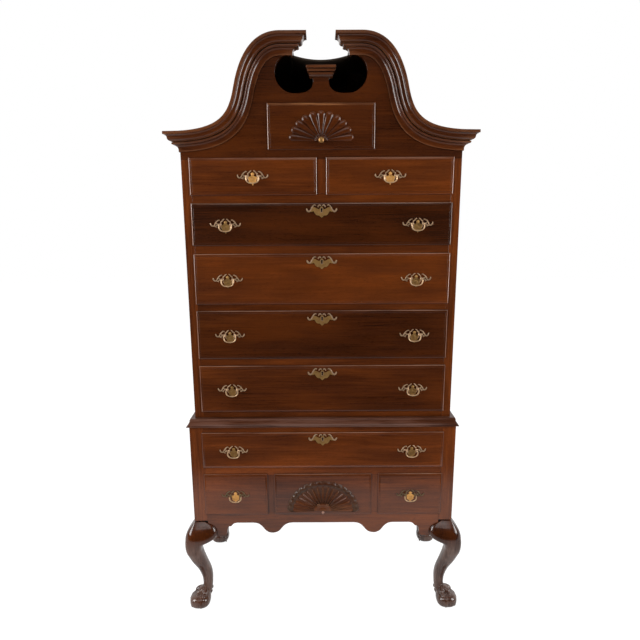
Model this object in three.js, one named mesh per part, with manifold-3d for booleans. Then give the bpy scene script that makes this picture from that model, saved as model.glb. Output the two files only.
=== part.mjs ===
// Bonnet-top highboy: a chest of drawers under a scrolled pediment, standing on a lower case with
// cabriole legs. Millimetres, +Z up, the drawers open towards -Y.

import * as THREE from 'three';
import { mergeVertices } from 'three/addons/utils/BufferGeometryUtils.js';
import Module from 'manifold-3d';

const wasm = await Module();
wasm.setup();

// Fit of one piece to another
const JOINT_GAP = 0.3;
const OVERLAP = 1;
const OVERRUN = 5;
const WELD = 0.001;

// Case sizes
const LOWER_WIDTH = 1010;
const WAIST_STEP = 20;
const CASE_DEPTH = 432;
const FRONT_STEP = 20;
const BOARD = 22;
const FRONT_BOARD = 20;
const BACK_BOARD = 10;
const DUST_BOARD = 12;
const UPPER_STILE = 33;
const GUIDE_HEIGHT = 26;
const PARTITION = 12;

// Heights of the rows, each row measured over the lips of its drawer fronts, and of the rails between
const LEG_HEIGHT = 371;
const APRON_HEIGHT = 38;
const APRON_DROP = 59;
const SIDE_BRACKET = 46;
const LOWER_SMALL_HEIGHT = 171;
const LOWER_RAIL = 27;
const LOWER_LONG_HEIGHT = 143;
const LOWER_TOP_RAIL = 23;
const BASE_RAIL = 53;
const ROW_4_HEIGHT = 181;
const RAIL_3 = 27;
const ROW_3_HEIGHT = 181;
const RAIL_2 = 24;
const ROW_2_HEIGHT = 182;
const RAIL_1 = 29;
const ROW_1_HEIGHT = 147;
const SMALL_RAIL = 27;
const SMALL_HEIGHT = 126;
const SHELL_RAIL = 25;
const SHELL_HEIGHT = 151;
const CORNICE_RISE = 81;
const SCROLL_RISE = 305;

// Drawers
const LIP_OVERLAP = 6;
const LIP_THICKNESS = 7;
const LIP_EDGE = 3;
const LIP_BEVEL = 4;
const FRONT_THICKNESS = 13;
const DRAWER_SIDE = 10;
const DRAWER_BOTTOM = 8;
const DRAWER_PLAY = 1.5;
const DRAWER_LIFT = 0.5;
const SIDE_DROP = 6;
const BACK_PLAY = 6;
const TOP_DIVIDER = 44;
const SHELL_DRAWER_WIDTH = 367;
const LOWER_SHELL_WIDTH = 375;
const LOWER_DIVIDER = 38;

// Pediment
const MOULDING_HEIGHT = 62;
const MOULDING_REACH = 45;
const SCROLL_FLAT = 133;
const SHOULDER_IN = 197.5;
const SCROLL_FOOT_OUT = 32;
const SCROLL_BOARD_END = 92.5;
const BOARD_INSET = 4;
const ROOF = 6;
const VALLEY_DROP = 52;
const VALLEY_SAG = 14;
const CIRCLE_RADIUS = 65;
const CIRCLE_DROP = 114;
const PLINTH_DROP = 92;
const PLINTH_WIDTH = 99;
const PLINTH_HEIGHT = 38;
const PLINTH_REACH = 20;

// Waist moulding
const WAIST_HEIGHT = 30;
const WAIST_REACH = 29.5;

// Legs
const LEG_POST = 52;
const FOOT_HEIGHT = 76;
const BALL_RADIUS = 31;
const FOOT_INSET = 5;

// Pulls
const PLATE_HALF = 55.5;
const PLATE_RISE = 21.5;
const PLATE_FALL = 31;
const PLATE_THICKNESS = 2;
const POST_SPACING = 37;
const POST_WIDTH = 5;
const POST_RADIUS = 4.6;
const STANDOFF = 10;
const STEM = 5;
const EYE_RADIUS = 2.6;
const PIN_RADIUS = 1.8;
const BAIL_HALF = 23.2;
const BAIL_DROP = 28;
const BAIL_RADIUS = 2.7;
const PULL_X = 338;
const SMALL_PULL_X = 238;
const KNOB_RADIUS = 10.5;
const KNOB_LENGTH = 22;

// Carved shells
const SHELL_RADIUS = 111;
const SHELL_RISE = 97;
const SHELL_FOOT = 28;
const LOWER_SHELL_RADIUS = 136;
const LOWER_SHELL_RISE = 127;
const LOWER_SHELL_FOOT = 17;
const SHELL_RELIEF = 6;
const SHELL_BUTTON_RADIUS = 5;
const SHELL_BUTTON_LENGTH = 12;

// Counts
const SCROLL_STEPS = 9;
const CIRCLE_STEPS = 24;
const VALLEY_STEPS = 6;
const LEG_SIDES = 12;
const TALON_SIDES = 5;
const BALL_SIDES = 10;
const BALL_RINGS = 6;
const EYE_SIDES = 6;
const BAIL_SIDES = 6;
const KNOB_SIDES = 14;
const SHELL_LOBES = 11;
const LOWER_SHELL_LOBES = 15;
const LOBE_STEPS = 4;

// Outlines as shares of the sizes they follow.
// The crown moulding: projection share of MOULDING_REACH, then height share of MOULDING_HEIGHT.
const CROWN_SHARES = [
  [0, 0], [0.08, 0], [0.08, 0.06], [0.12, 0.15], [0.19, 0.25], [0.3, 0.325], [0.3, 0.355],
  [0.42, 0.355], [0.5, 0.4], [0.5, 0.465], [0.43, 0.5], [0.62, 0.53], [0.76, 0.58], [0.83, 0.68],
  [0.88, 0.77], [1, 0.825], [1, 1], [0, 1],
];
// The waist moulding: share of its reach, then share of its height.
const WAIST_SHARES = [
  [0, 0], [0.68, 0], [0.9, 0.1], [1, 0.25], [1, 0.36], [0.86, 0.42], [0.6, 0.56], [0.42, 0.74],
  [0.34, 0.9], [0.34, 1], [0, 1],
];
// The scroll: handle lengths as shares of the scroll's rise, and the shoulder's height and slope.
const SHOULDER_HEIGHT_SHARE = 0.455;
const SHOULDER_SLOPE_SHARE = 0.22;
const TOP_HANDLE_SHARE = 0.325;
const SHOULDER_UPPER_HANDLE_SHARE = 0.32;
const SHOULDER_LOWER_HANDLE_SHARE = 0.29;
const FOOT_HANDLE_SHARE = 0.61;
// The plinth between the circles: half width, reach and height shares of its own sizes.
const PLINTH_SHARES = [
  [0.75, 0.45, 0], [0.75, 0.45, 0.27], [0.83, 0.6, 0.27], [0.83, 0.6, 0.48], [0.91, 0.8, 0.48],
  [0.91, 0.8, 0.7], [1, 1, 0.7], [1, 1, 1],
];
// The leg: height share of LEG_HEIGHT, outer and inner edge as shares of LEG_POST, squareness.
const LEG_SHARES = [
  [1.1, 0, 1, 12], [1.035, 0.08, 1, 8], [1, 0.31, 1, 5.5], [0.95, 0.52, 0.96, 4.4],
  [0.875, 0.69, 0.85, 3.6], [0.8, 0.77, 0.67, 3.2], [0.715, 0.72, 0.53, 3], [0.635, 0.62, 0.595, 2.8],
  [0.545, 0.43, 0.73, 2.7], [0.453, 0.18, 0.83, 2.6], [0.362, -0.07, 0.9, 2.5],
  [0.278, -0.26, 0.92, 2.3], [0.235, -0.28, 0.9, 2.2], [0.19, -0.15, 0.87, 2.2], [0.1, 0.1, 0.5, 2.2],
];
const POST_START_SHARE = 1.04;
const BRACKET_LOWEST_SHARE = 0.835;
// A talon: distance from the ball's axis and knuckle radius as shares of BALL_RADIUS, height share
// of FOOT_HEIGHT.
const TALON_SHARES = [
  [0.35, 1.1, 0.22], [0.7, 0.98, 0.27], [0.94, 0.76, 0.31], [1.04, 0.5, 0.26], [1.08, 0.26, 0.28],
  [1.02, 0.06, 0.17],
];
const TALON_TURN_SHARES = [-0.28, 0, 0.28, 1];
const BALL_HEIGHT_SHARE = 0.93;
// The apron from its end at the leg to the middle: share of the half opening, share of APRON_DROP.
const APRON_SHARES = [
  [0.94, 1], [0.87, 0.99], [0.845, 0.9], [0.833, 0.66], [0.823, 0.32], [0.8, 0.26], [0.782, 0.1],
  [0.752, 0], [0.572, 0], [0.545, 0.1], [0.515, 0.33], [0.475, 0.62], [0.452, 0.73], [0.435, 0.75],
  [0.418, 0.73], [0.395, 0.62], [0.355, 0.33], [0.325, 0.1], [0.298, 0],
];
// The side board's lower edge from its end: share of SIDE_BRACKET, share of APRON_DROP.
const SIDE_APRON_SHARES = [[0, 1], [0.5, 0.97], [0.68, 0.85], [0.8, 0.3], [0.9, 0.12], [1, 0]];
// The pull plate, right half from the top: share of PLATE_HALF, share of the rise or the fall.
const PLATE_TOP_SHARES = [
  [0, 0.78], [0.09, 1], [0.2, 0.97], [0.27, 0.66], [0.33, 0.64], [0.4, 0.9], [0.48, 0.86],
  [0.53, 0.52], [0.65, 0.12], [0.77, -0.04], [0.88, 0.08], [0.95, 0.34], [1, 0.28],
];
const PLATE_FOOT_SHARES = [
  [0.97, 0.05], [0.88, 0.2], [0.74, 0.27], [0.6, 0.2], [0.5, 0.3], [0.4, 0.42], [0.32, 0.6],
  [0.18, 0.82], [0.06, 0.88], [0, 1],
];
// The bail, right half from its pin: share of BAIL_HALF, share of BAIL_DROP, share of BAIL_RADIUS.
const BAIL_SHARES = [
  [1, 0, 0.68], [1.03, 0.3, 0.74], [0.97, 0.58, 0.82], [0.66, 0.87, 0.92], [0, 1, 1],
];
// The knob: share of KNOB_RADIUS, share of KNOB_LENGTH.
const KNOB_SHARES = [
  [0, 0], [0.7, 0], [0.7, 0.12], [0.42, 0.24], [0.42, 0.4], [0.9, 0.55], [1, 0.72], [0.85, 0.9],
  [0.4, 1], [0, 1],
];
const LOBE_DEPTH_SHARE = 0.07;

// Derived places
const lowerHalf = LOWER_WIDTH / 2;
const upperHalf = lowerHalf - WAIST_STEP;
const lowerOpening = lowerHalf - LEG_POST;
const upperOpening = upperHalf - UPPER_STILE;
const lowerSmallZ = LEG_HEIGHT + APRON_HEIGHT;
const lowerLongZ = lowerSmallZ + LOWER_SMALL_HEIGHT + LOWER_RAIL;
const lowerTop = lowerLongZ + LOWER_LONG_HEIGHT + LOWER_TOP_RAIL;
const row4Z = lowerTop + BASE_RAIL;
const row3Z = row4Z + ROW_4_HEIGHT + RAIL_3;
const row2Z = row3Z + ROW_3_HEIGHT + RAIL_2;
const row1Z = row2Z + ROW_2_HEIGHT + RAIL_1;
const smallZ = row1Z + ROW_1_HEIGHT + SMALL_RAIL;
const smallTop = smallZ + SMALL_HEIGHT;
const shellZ = smallTop + SHELL_RAIL;
const corniceTop = smallTop + CORNICE_RISE;
const scrollTop = corniceTop + SCROLL_RISE;
const upperFront = FRONT_STEP;
const upperInside = upperFront + FRONT_BOARD + JOINT_GAP;
const backInside = CASE_DEPTH - BACK_BOARD;
const tympanumBottom = smallTop - LIP_OVERLAP;
const circleZ = scrollTop - CIRCLE_DROP;

// Finishes
const MAHOGANY = new THREE.MeshStandardMaterial({ color: 0x4f2413, roughness: 0.38, metalness: 0 });
const POPLAR = new THREE.MeshStandardMaterial({ color: 0x9a7448, roughness: 0.75, metalness: 0 });
const BRASS = new THREE.MeshStandardMaterial({ color: 0xb98f4a, roughness: 0.35, metalness: 1 });

// Welds equal corners, drops flat triangles and turns every face outwards
function cleaned(source) {
  const bare = new THREE.BufferGeometry();
  bare.setAttribute('position', source.getAttribute('position').clone());
  if (source.index) bare.setIndex(source.index.clone());
  const welded = mergeVertices(bare, WELD);
  const corners = Array.from(welded.index.array);
  const faces = [];
  for (let i = 0; i < corners.length; i += 3) {
    const [a, b, c] = corners.slice(i, i + 3);
    if (a !== b && b !== c && c !== a) faces.push([a, b, c]);
  }
  const place = (i) => new THREE.Vector3().fromBufferAttribute(welded.getAttribute('position'), i);
  const volume = faces.reduce((sum, [a, b, c]) => sum + place(a).dot(place(b).cross(place(c))), 0);
  welded.setIndex(faces.flatMap(([a, b, c]) => (volume < 0 ? [a, c, b] : [a, b, c])));
  return welded;
}

function solid(source) {
  const shape = cleaned(source);
  const vertProperties = new Float32Array(shape.getAttribute('position').array);
  const triVerts = new Uint32Array(shape.index.array);
  return new wasm.Manifold(new wasm.Mesh({ numProp: 3, vertProperties, triVerts }));
}

function geometryOf(body) {
  const mesh = body.getMesh();
  const result = new THREE.BufferGeometry();
  result.setAttribute('position', new THREE.BufferAttribute(new Float32Array(mesh.vertProperties), 3));
  result.setIndex(Array.from(mesh.triVerts));
  return result;
}

function joined(shapes) {
  return geometryOf(shapes.map(solid).reduce((all, next) => all.add(next)));
}

function cut(shape, tools) {
  return geometryOf(tools.map(solid).reduce((rest, tool) => rest.subtract(tool), solid(shape)));
}

function block(x0, x1, y0, y1, z0, z1) {
  const shape = new THREE.BoxGeometry(x1 - x0, y1 - y0, z1 - z0);
  return shape.translate((x0 + x1) / 2, (y0 + y1) / 2, (z0 + z1) / 2);
}

function shapeOf(points) {
  return new THREE.Shape(points.map(([x, y]) => new THREE.Vector2(x, y)));
}

// Extrudes an outline of x and z from y0 to y1
function extrudeFront(points, y0, y1, holes = []) {
  const shape = shapeOf(points);
  holes.forEach((hole) => shape.holes.push(shapeOf(hole)));
  const body = new THREE.ExtrudeGeometry(shape, { depth: y1 - y0, bevelEnabled: false });
  const turn = new THREE.Matrix4().makeBasis(
    new THREE.Vector3(1, 0, 0), new THREE.Vector3(0, 0, 1), new THREE.Vector3(0, -1, 0));
  return body.applyMatrix4(turn).translate(0, y1, 0);
}

// Extrudes an outline of y and z from x0 to x1
function extrudeSide(points, x0, x1) {
  const body = new THREE.ExtrudeGeometry(shapeOf(points), { depth: x1 - x0, bevelEnabled: false });
  const turn = new THREE.Matrix4().makeBasis(
    new THREE.Vector3(0, 1, 0), new THREE.Vector3(0, 0, 1), new THREE.Vector3(1, 0, 0));
  return body.applyMatrix4(turn).translate(x0, 0, 0);
}

// Skins a row of rings that have the same number of corners and closes both ends
function loft(rings, capPoints) {
  const count = rings[0].length;
  const positions = rings.flat(2);
  const faces = [];
  for (let r = 0; r + 1 < rings.length; r += 1) {
    for (let i = 0; i < count; i += 1) {
      const j = (i + 1) % count;
      const [a, b] = [r * count + i, r * count + j];
      faces.push(a, b, b + count, a, b + count, a + count);
    }
  }
  const outline = capPoints.map(([x, y]) => new THREE.Vector2(x, y));
  const last = (rings.length - 1) * count;
  const clockwise = THREE.ShapeUtils.isClockWise(outline);
  THREE.ShapeUtils.triangulateShape(outline, []).forEach(([a, b, c]) => {
    const [p, q] = clockwise ? [c, b] : [b, c];
    faces.push(a, q, p, last + a, last + p, last + q);
  });
  const shape = new THREE.BufferGeometry();
  shape.setAttribute('position', new THREE.Float32BufferAttribute(positions, 3));
  shape.setIndex(faces);
  return shape;
}

function circlePoints(sides) {
  return Array.from({ length: sides }, (_, i) => {
    const angle = (i / sides) * 2 * Math.PI;
    return [Math.cos(angle), Math.sin(angle)];
  });
}

// A round rod along a path in the x-z plane, each point with its own radius
function rod(path, sides) {
  const unit = circlePoints(sides);
  const rings = path.map(([x, z, radius], i) => {
    const [x0, z0] = path[Math.max(i - 1, 0)];
    const [x1, z1] = path[Math.min(i + 1, path.length - 1)];
    const length = Math.hypot(x1 - x0, z1 - z0);
    const [nx, nz] = [-(z1 - z0) / length, (x1 - x0) / length];
    return unit.map(([c, s]) => [x + nx * c * radius, s * radius, z + nz * c * radius]);
  });
  return loft(rings, unit);
}

function mirrored(points) {
  const left = points.filter(([x]) => x > 0).map(([x, z]) => [-x, z]).reverse();
  return [...left, ...points];
}

// The scroll's outer edge from the gap to the cornice, with its inward normal at each point
function scrollEdge() {
  const shoulder = new THREE.Vector2(
    upperHalf - SHOULDER_IN, corniceTop + SCROLL_RISE * SHOULDER_HEIGHT_SHARE);
  const slope = new THREE.Vector2(SHOULDER_SLOPE_SHARE, -1).normalize();
  const start = new THREE.Vector2(SCROLL_FLAT, scrollTop);
  const end = new THREE.Vector2(upperHalf + SCROLL_FOOT_OUT, corniceTop);
  const handle = (point, x, share) => new THREE.Vector2(point.x + x * SCROLL_RISE * share, point.y);
  const along = (share) => shoulder.clone().addScaledVector(slope, SCROLL_RISE * share);
  const upper = new THREE.CubicBezierCurve(
    start, handle(start, 1, TOP_HANDLE_SHARE), along(-SHOULDER_UPPER_HANDLE_SHARE), shoulder);
  const lower = new THREE.CubicBezierCurve(
    shoulder, along(SHOULDER_LOWER_HANDLE_SHARE), handle(end, -1, FOOT_HANDLE_SHARE), end);
  const edge = [];
  [upper, lower].forEach((curve, part) => {
    for (let i = part; i <= SCROLL_STEPS; i += 1) {
      const point = curve.getPoint(i / SCROLL_STEPS);
      const tangent = curve.getTangent(i / SCROLL_STEPS);
      edge.push({ x: point.x, z: point.y, nx: tangent.y, nz: -tangent.x });
    }
  });
  return edge.filter((point) => point.x < upperHalf - OVERRUN);
}

const edge = scrollEdge();

// The scroll's outline set in by a distance, from the gap to a given half width
function outlineAt(inset, firstX, lastX) {
  const middle = edge.map((p) => [p.x + p.nx * inset, p.z + p.nz * inset]);
  return [
    [firstX, scrollTop - inset],
    ...middle.filter(([x]) => x < lastX - WELD),
    [lastX, corniceTop - inset],
  ];
}

// Top of the valley board between the scrolls at a given x
function valleyZ(x) {
  const share = 1 - (x / SCROLL_BOARD_END) ** 2;
  return scrollTop - VALLEY_DROP - VALLEY_SAG * share;
}

function crownPoint([p, h]) {
  return [Math.max(p * MOULDING_REACH, JOINT_GAP), h * MOULDING_HEIGHT];
}

function scrollMoulding(side) {
  const profile = CROWN_SHARES.map(crownPoint);
  const place = (x, y, z) => [side * x, y, z];
  const ring = (map) => profile.map(([p, h]) => map(p, MOULDING_HEIGHT - h));
  const flat = (x) => ring((p, d) => place(x, upperFront - p, scrollTop - d));
  const rings = [
    ring((p, d) => place(SCROLL_BOARD_END - p, upperFront + FRONT_BOARD, scrollTop - d)),
    ring((p, d) => place(SCROLL_BOARD_END - p, upperFront - p, scrollTop - d)),
    flat(SCROLL_BOARD_END + OVERRUN),
    ...edge.map(({ x, z, nx, nz }) => ring((p, d) => place(x + nx * d, upperFront - p, z + nz * d))),
    ring((p, d) => place(upperHalf + p, upperFront - p, corniceTop - d)),
  ];
  return loft(rings, profile);
}

function corniceReturn(side) {
  const profile = CROWN_SHARES.map(crownPoint);
  const z0 = corniceTop - MOULDING_HEIGHT;
  const ring = (y) => profile.map(([p, h]) => [side * (upperHalf + p), y(p), z0 + h]);
  return loft([ring((p) => upperFront - p + 2 * JOINT_GAP), ring(() => CASE_DEPTH)], profile);
}

function waistMoulding() {
  const profile = WAIST_SHARES.map(([p, h]) => [
    Math.max(p * WAIST_REACH, JOINT_GAP), Math.max(h * WAIST_HEIGHT, JOINT_GAP)]);
  const ring = (x, y) => profile.map(([p, h]) => [x(p), y(p), lowerTop + h]);
  return loft([
    ring((p) => -(upperHalf + p), () => CASE_DEPTH),
    ring((p) => -(upperHalf + p), (p) => upperFront - p),
    ring((p) => upperHalf + p, (p) => upperFront - p),
    ring((p) => upperHalf + p, () => CASE_DEPTH),
  ], profile);
}

function plinth() {
  const rings = PLINTH_SHARES.map(([w, r, h]) => {
    const x = (w * PLINTH_WIDTH) / 2;
    const y = upperFront - r * PLINTH_REACH;
    const z = scrollTop - PLINTH_DROP - PLINTH_HEIGHT * (1 - h);
    const back = upperFront + FRONT_BOARD;
    return [[-x, y, z], [x, y, z], [x, back, z], [-x, back, z]];
  });
  return loft(rings, rings[0].map(([x, y]) => [x, y]));
}

function tympanum() {
  const outline = outlineAt(BOARD_INSET, SCROLL_BOARD_END, upperHalf);
  const half = [[0, scrollTop - BOARD_INSET], ...outline, [upperHalf, tympanumBottom]];
  const board = extrudeFront(mirrored(half), upperFront, upperFront + FRONT_BOARD);
  const [y0, y1] = [upperFront - OVERRUN, upperFront + FRONT_BOARD + OVERRUN];
  const hole = (side) => extrudeFront(
    circlePoints(CIRCLE_STEPS).map(([c, s]) => [
      side * SCROLL_BOARD_END + c * CIRCLE_RADIUS, circleZ + s * CIRCLE_RADIUS]), y0, y1);
  const gap = block(-SCROLL_BOARD_END, SCROLL_BOARD_END, y0, y1, circleZ, scrollTop + OVERRUN);
  const shellOpening = SHELL_DRAWER_WIDTH / 2 - LIP_OVERLAP;
  const drawer = block(-shellOpening, shellOpening, y0, y1,
    shellZ + LIP_OVERLAP, shellZ + SHELL_HEIGHT - LIP_OVERLAP);
  return joined([cut(board, [hole(-1), hole(1), gap, drawer]), plinth()]);
}

// Half of the bonnet's roof: scroll board, gap side and valley, as one bent board
function bonnetRoof(side) {
  const valley = (drop) => Array.from({ length: VALLEY_STEPS + 1 }, (_, i) => {
    const x = Math.max(SCROLL_BOARD_END * (1 - i / VALLEY_STEPS), JOINT_GAP / 2);
    return [x, valleyZ(x) - drop];
  });
  const points = [
    ...outlineAt(BOARD_INSET, SCROLL_BOARD_END, upperHalf).reverse(),
    ...valley(0),
    ...valley(ROOF).reverse(),
    [SCROLL_BOARD_END + ROOF, valleyZ(SCROLL_BOARD_END) - ROOF],
    ...outlineAt(BOARD_INSET + ROOF, SCROLL_BOARD_END + ROOF, upperHalf),
  ];
  return extrudeFront(points.map(([x, z]) => [side * x, z]), upperInside, CASE_DEPTH);
}

function upperBack() {
  const half = upperHalf - BOARD - JOINT_GAP;
  const inset = BOARD_INSET + ROOF + JOINT_GAP;
  const shelf = SCROLL_BOARD_END + ROOF + JOINT_GAP;
  const valley = Array.from({ length: VALLEY_STEPS + 1 }, (_, i) => {
    const x = (SCROLL_BOARD_END * i) / VALLEY_STEPS;
    return [x, valleyZ(x) - ROOF - JOINT_GAP];
  });
  const points = [
    ...valley,
    [shelf, valleyZ(SCROLL_BOARD_END) - ROOF - JOINT_GAP],
    ...outlineAt(inset, shelf, half),
    [half, lowerTop + JOINT_GAP],
  ];
  return extrudeFront(mirrored(points), backInside, CASE_DEPTH);
}

function upperSide(side) {
  const outer = side * upperHalf;
  const inner = side * (upperHalf - BOARD);
  const top = corniceTop - BOARD_INSET - ROOF - JOINT_GAP;
  return block(Math.min(outer, inner), Math.max(outer, inner), upperInside, CASE_DEPTH,
    lowerTop + JOINT_GAP, top);
}

function rectangle(x0, x1, z0, z1) {
  return [[x0, z0], [x1, z0], [x1, z1], [x0, z1]];
}

// The same block on the left and on the right
function blockPair(x0, x1, y0, y1, z0, z1) {
  return [block(-x1, -x0, y0, y1, z0, z1), block(x0, x1, y0, y1, z0, z1)];
}

// The upper case's face frame, with a dust board and guides behind each rail
function upperFrame() {
  const bottom = lowerTop + JOINT_GAP;
  const top = tympanumBottom - JOINT_GAP;
  const smallFloor = smallZ + LIP_OVERLAP;
  const shelfZ = shellZ + LIP_OVERLAP;
  const openings = [[row4Z, ROW_4_HEIGHT], [row3Z, ROW_3_HEIGHT], [row2Z, ROW_2_HEIGHT],
    [row1Z, ROW_1_HEIGHT]].map(([z, height]) => rectangle(
    -upperOpening, upperOpening, z + LIP_OVERLAP, z + height - LIP_OVERLAP));
  const outline = mirrored([
    [TOP_DIVIDER / 2, top], [TOP_DIVIDER / 2, smallFloor], [upperOpening, smallFloor],
    [upperOpening, top], [upperHalf, top], [upperHalf, bottom],
  ]);
  const half = upperHalf - BOARD - JOINT_GAP;
  const y0 = upperFront + FRONT_BOARD - OVERLAP;
  const y1 = backInside - JOINT_GAP;
  const boards = [row4Z, row3Z, row2Z, row1Z, smallZ].flatMap((row) => {
    const z = row + LIP_OVERLAP;
    return [
      block(-half, half, y0, y1, z - DUST_BOARD, z),
      ...blockPair(upperOpening, half, y0, y1, z - OVERLAP, z + GUIDE_HEIGHT),
    ];
  });
  const shellOpening = SHELL_DRAWER_WIDTH / 2 - LIP_OVERLAP;
  return joined([
    extrudeFront(outline, upperFront, upperFront + FRONT_BOARD, openings),
    ...boards,
    block(-TOP_DIVIDER / 2, TOP_DIVIDER / 2, y0, y1, smallFloor - OVERLAP, smallFloor + GUIDE_HEIGHT),
    block(-PARTITION / 2, PARTITION / 2, upperInside, y1,
      smallFloor - OVERLAP, shelfZ - DUST_BOARD + OVERLAP),
    block(-half, half, upperInside, y1, shelfZ - DUST_BOARD, shelfZ),
    ...blockPair(shellOpening, shellOpening + BOARD, upperInside, y1,
      shelfZ - OVERLAP, shelfZ + GUIDE_HEIGHT),
  ]);
}

// The end of the apron follows the inner edge of the leg beside it
function bracketEnd() {
  return LEG_SHARES.filter(([z]) => z <= 1 && z > BRACKET_LOWEST_SHARE).map(([z, , inner]) => [
    lowerHalf - inner * LEG_POST - JOINT_GAP * 2, z * LEG_HEIGHT]);
}

// The lower case's rails, apron, dividers, dust boards, guides and cover, set between the legs
function lowerFrame() {
  const half = lowerOpening - JOINT_GAP;
  const smallFloor = lowerSmallZ + LIP_OVERLAP;
  const smallCeiling = lowerSmallZ + LOWER_SMALL_HEIGHT - LIP_OVERLAP;
  const longFloor = lowerLongZ + LIP_OVERLAP;
  const longCeiling = lowerLongZ + LOWER_LONG_HEIGHT - LIP_OVERLAP;
  const shellHalf = LOWER_SHELL_WIDTH / 2 - LIP_OVERLAP;
  const outline = mirrored([
    ...APRON_SHARES.map(([x, d]) => [x * lowerOpening, LEG_HEIGHT - d * APRON_DROP]).reverse(),
    ...bracketEnd().reverse(),
    [half, LEG_HEIGHT + OVERLAP],
    [half, lowerTop],
  ]);
  const [cutFront, cutBack] = [-OVERRUN, FRONT_BOARD + OVERRUN];
  const openings = [
    block(-half - OVERRUN, half + OVERRUN, cutFront, cutBack, longFloor, longCeiling),
    block(-shellHalf, shellHalf, cutFront, cutBack, smallFloor, smallCeiling),
    ...blockPair(shellHalf + LOWER_DIVIDER, half + OVERRUN, cutFront, cutBack,
      smallFloor, smallCeiling),
  ];
  const front = solid(extrudeFront(outline, 0, FRONT_BOARD));
  const rails = openings.map(solid).reduce((rest, tool) => rest.subtract(tool), front);
  const y0 = FRONT_BOARD - OVERLAP;
  const y1 = backInside - JOINT_GAP;
  const [sideY0, sideY1] = [LEG_POST + JOINT_GAP, CASE_DEPTH - LEG_POST - JOINT_GAP];
  const reach = lowerHalf - BOARD - JOINT_GAP;
  const levels = [smallFloor, longFloor, lowerTop].flatMap((z) => [
    block(-half, half, y0, y1, z - DUST_BOARD, z),
    block(-reach, reach, sideY0, sideY1, z - DUST_BOARD, z),
  ]);
  const middle = shellHalf + LOWER_DIVIDER / 2;
  const pieces = [
    ...levels,
    ...blockPair(lowerOpening, reach, sideY0, sideY1, smallFloor - OVERLAP, smallFloor + GUIDE_HEIGHT),
    ...blockPair(lowerOpening, lowerOpening + PARTITION, sideY0, sideY1,
      longFloor - OVERLAP, lowerTop - DUST_BOARD + OVERLAP),
    ...blockPair(shellHalf, shellHalf + LOWER_DIVIDER, y0, y1,
      smallFloor - OVERLAP, smallFloor + GUIDE_HEIGHT),
    ...blockPair(middle - PARTITION / 2, middle + PARTITION / 2, y0, y1,
      smallFloor - OVERLAP, longFloor - DUST_BOARD + OVERLAP),
  ];
  return geometryOf(pieces.map(solid).reduce((all, next) => all.add(next), rails));
}

function lowerSide(side) {
  const [y0, y1] = [LEG_POST + JOINT_GAP, CASE_DEPTH - LEG_POST - JOINT_GAP];
  const edgePoints = SIDE_APRON_SHARES.map(([s, d]) => [s * SIDE_BRACKET, LEG_HEIGHT - d * APRON_DROP]);
  const points = [
    ...edgePoints.map(([s, z]) => [y0 + s, z]),
    ...edgePoints.map(([s, z]) => [y1 - s, z]).reverse(),
    [y1, lowerTop], [y0, lowerTop],
  ];
  const outer = side * lowerHalf;
  const inner = side * (lowerHalf - BOARD);
  return extrudeSide(points, Math.min(outer, inner), Math.max(outer, inner));
}

function lowerBack() {
  const half = lowerOpening - JOINT_GAP;
  return block(-half, half, backInside, CASE_DEPTH, LEG_HEIGHT, lowerTop);
}

function curvedSquare(angle, squareness) {
  const bend = (v) => Math.sign(v) * Math.abs(v) ** (2 / squareness);
  return [bend(Math.cos(angle)), bend(Math.sin(angle))];
}

// A leg: u and v run outwards from the case's corner, across the width and across the depth
function leg(side, atBack) {
  const place = (u, v, z) => [side * (lowerHalf + u), atBack ? CASE_DEPTH + v : -v, z];
  const angles = Array.from({ length: LEG_SIDES }, (_, i) => ((i + 0.5) / LEG_SIDES) * 2 * Math.PI);
  const rings = LEG_SHARES.map(([height, outer, inner, squareness]) => {
    const centre = ((outer - inner) / 2) * LEG_POST;
    const half = ((outer + inner) / 2) * LEG_POST;
    return angles.map((angle) => {
      const [c, s] = curvedSquare(angle, squareness);
      return place(centre + c * half, centre + s * half, height * LEG_HEIGHT);
    });
  });
  const stem = loft(rings, angles.map((angle) => [Math.cos(angle), Math.sin(angle)]));
  const corners = [place(-LEG_POST, -LEG_POST, 0), place(0, 0, 0)];
  const [x0, x1] = corners.map(([x]) => x).sort((a, b) => a - b);
  const [y0, y1] = corners.map(([, y]) => y).sort((a, b) => a - b);
  const post = block(x0, x1, y0, y1, LEG_HEIGHT * POST_START_SHARE, lowerTop);
  const [footX, footY] = place(-FOOT_INSET, -FOOT_INSET, 0);
  const ball = new THREE.SphereGeometry(BALL_RADIUS, BALL_SIDES, BALL_RINGS)
    .rotateX(Math.PI / 2)
    .translate(footX, footY, BALL_RADIUS * BALL_HEIGHT_SHARE);
  const [dirX, dirY] = [side, atBack ? 1 : -1];
  const talons = TALON_TURN_SHARES.map((share) => {
    const path = TALON_SHARES.map(([r, h, k]) => [r * BALL_RADIUS, h * FOOT_HEIGHT, k * BALL_RADIUS]);
    const turn = Math.atan2(dirY, dirX) + share * Math.PI;
    return rod(path, TALON_SIDES).rotateZ(turn).translate(footX, footY, 0);
  });
  const reach = BALL_RADIUS * 2;
  const floor = block(footX - reach, footX + reach, footY - reach, footY + reach, -reach, 0);
  return cut(joined([post, stem, ball, ...talons]), [floor]);
}

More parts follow.
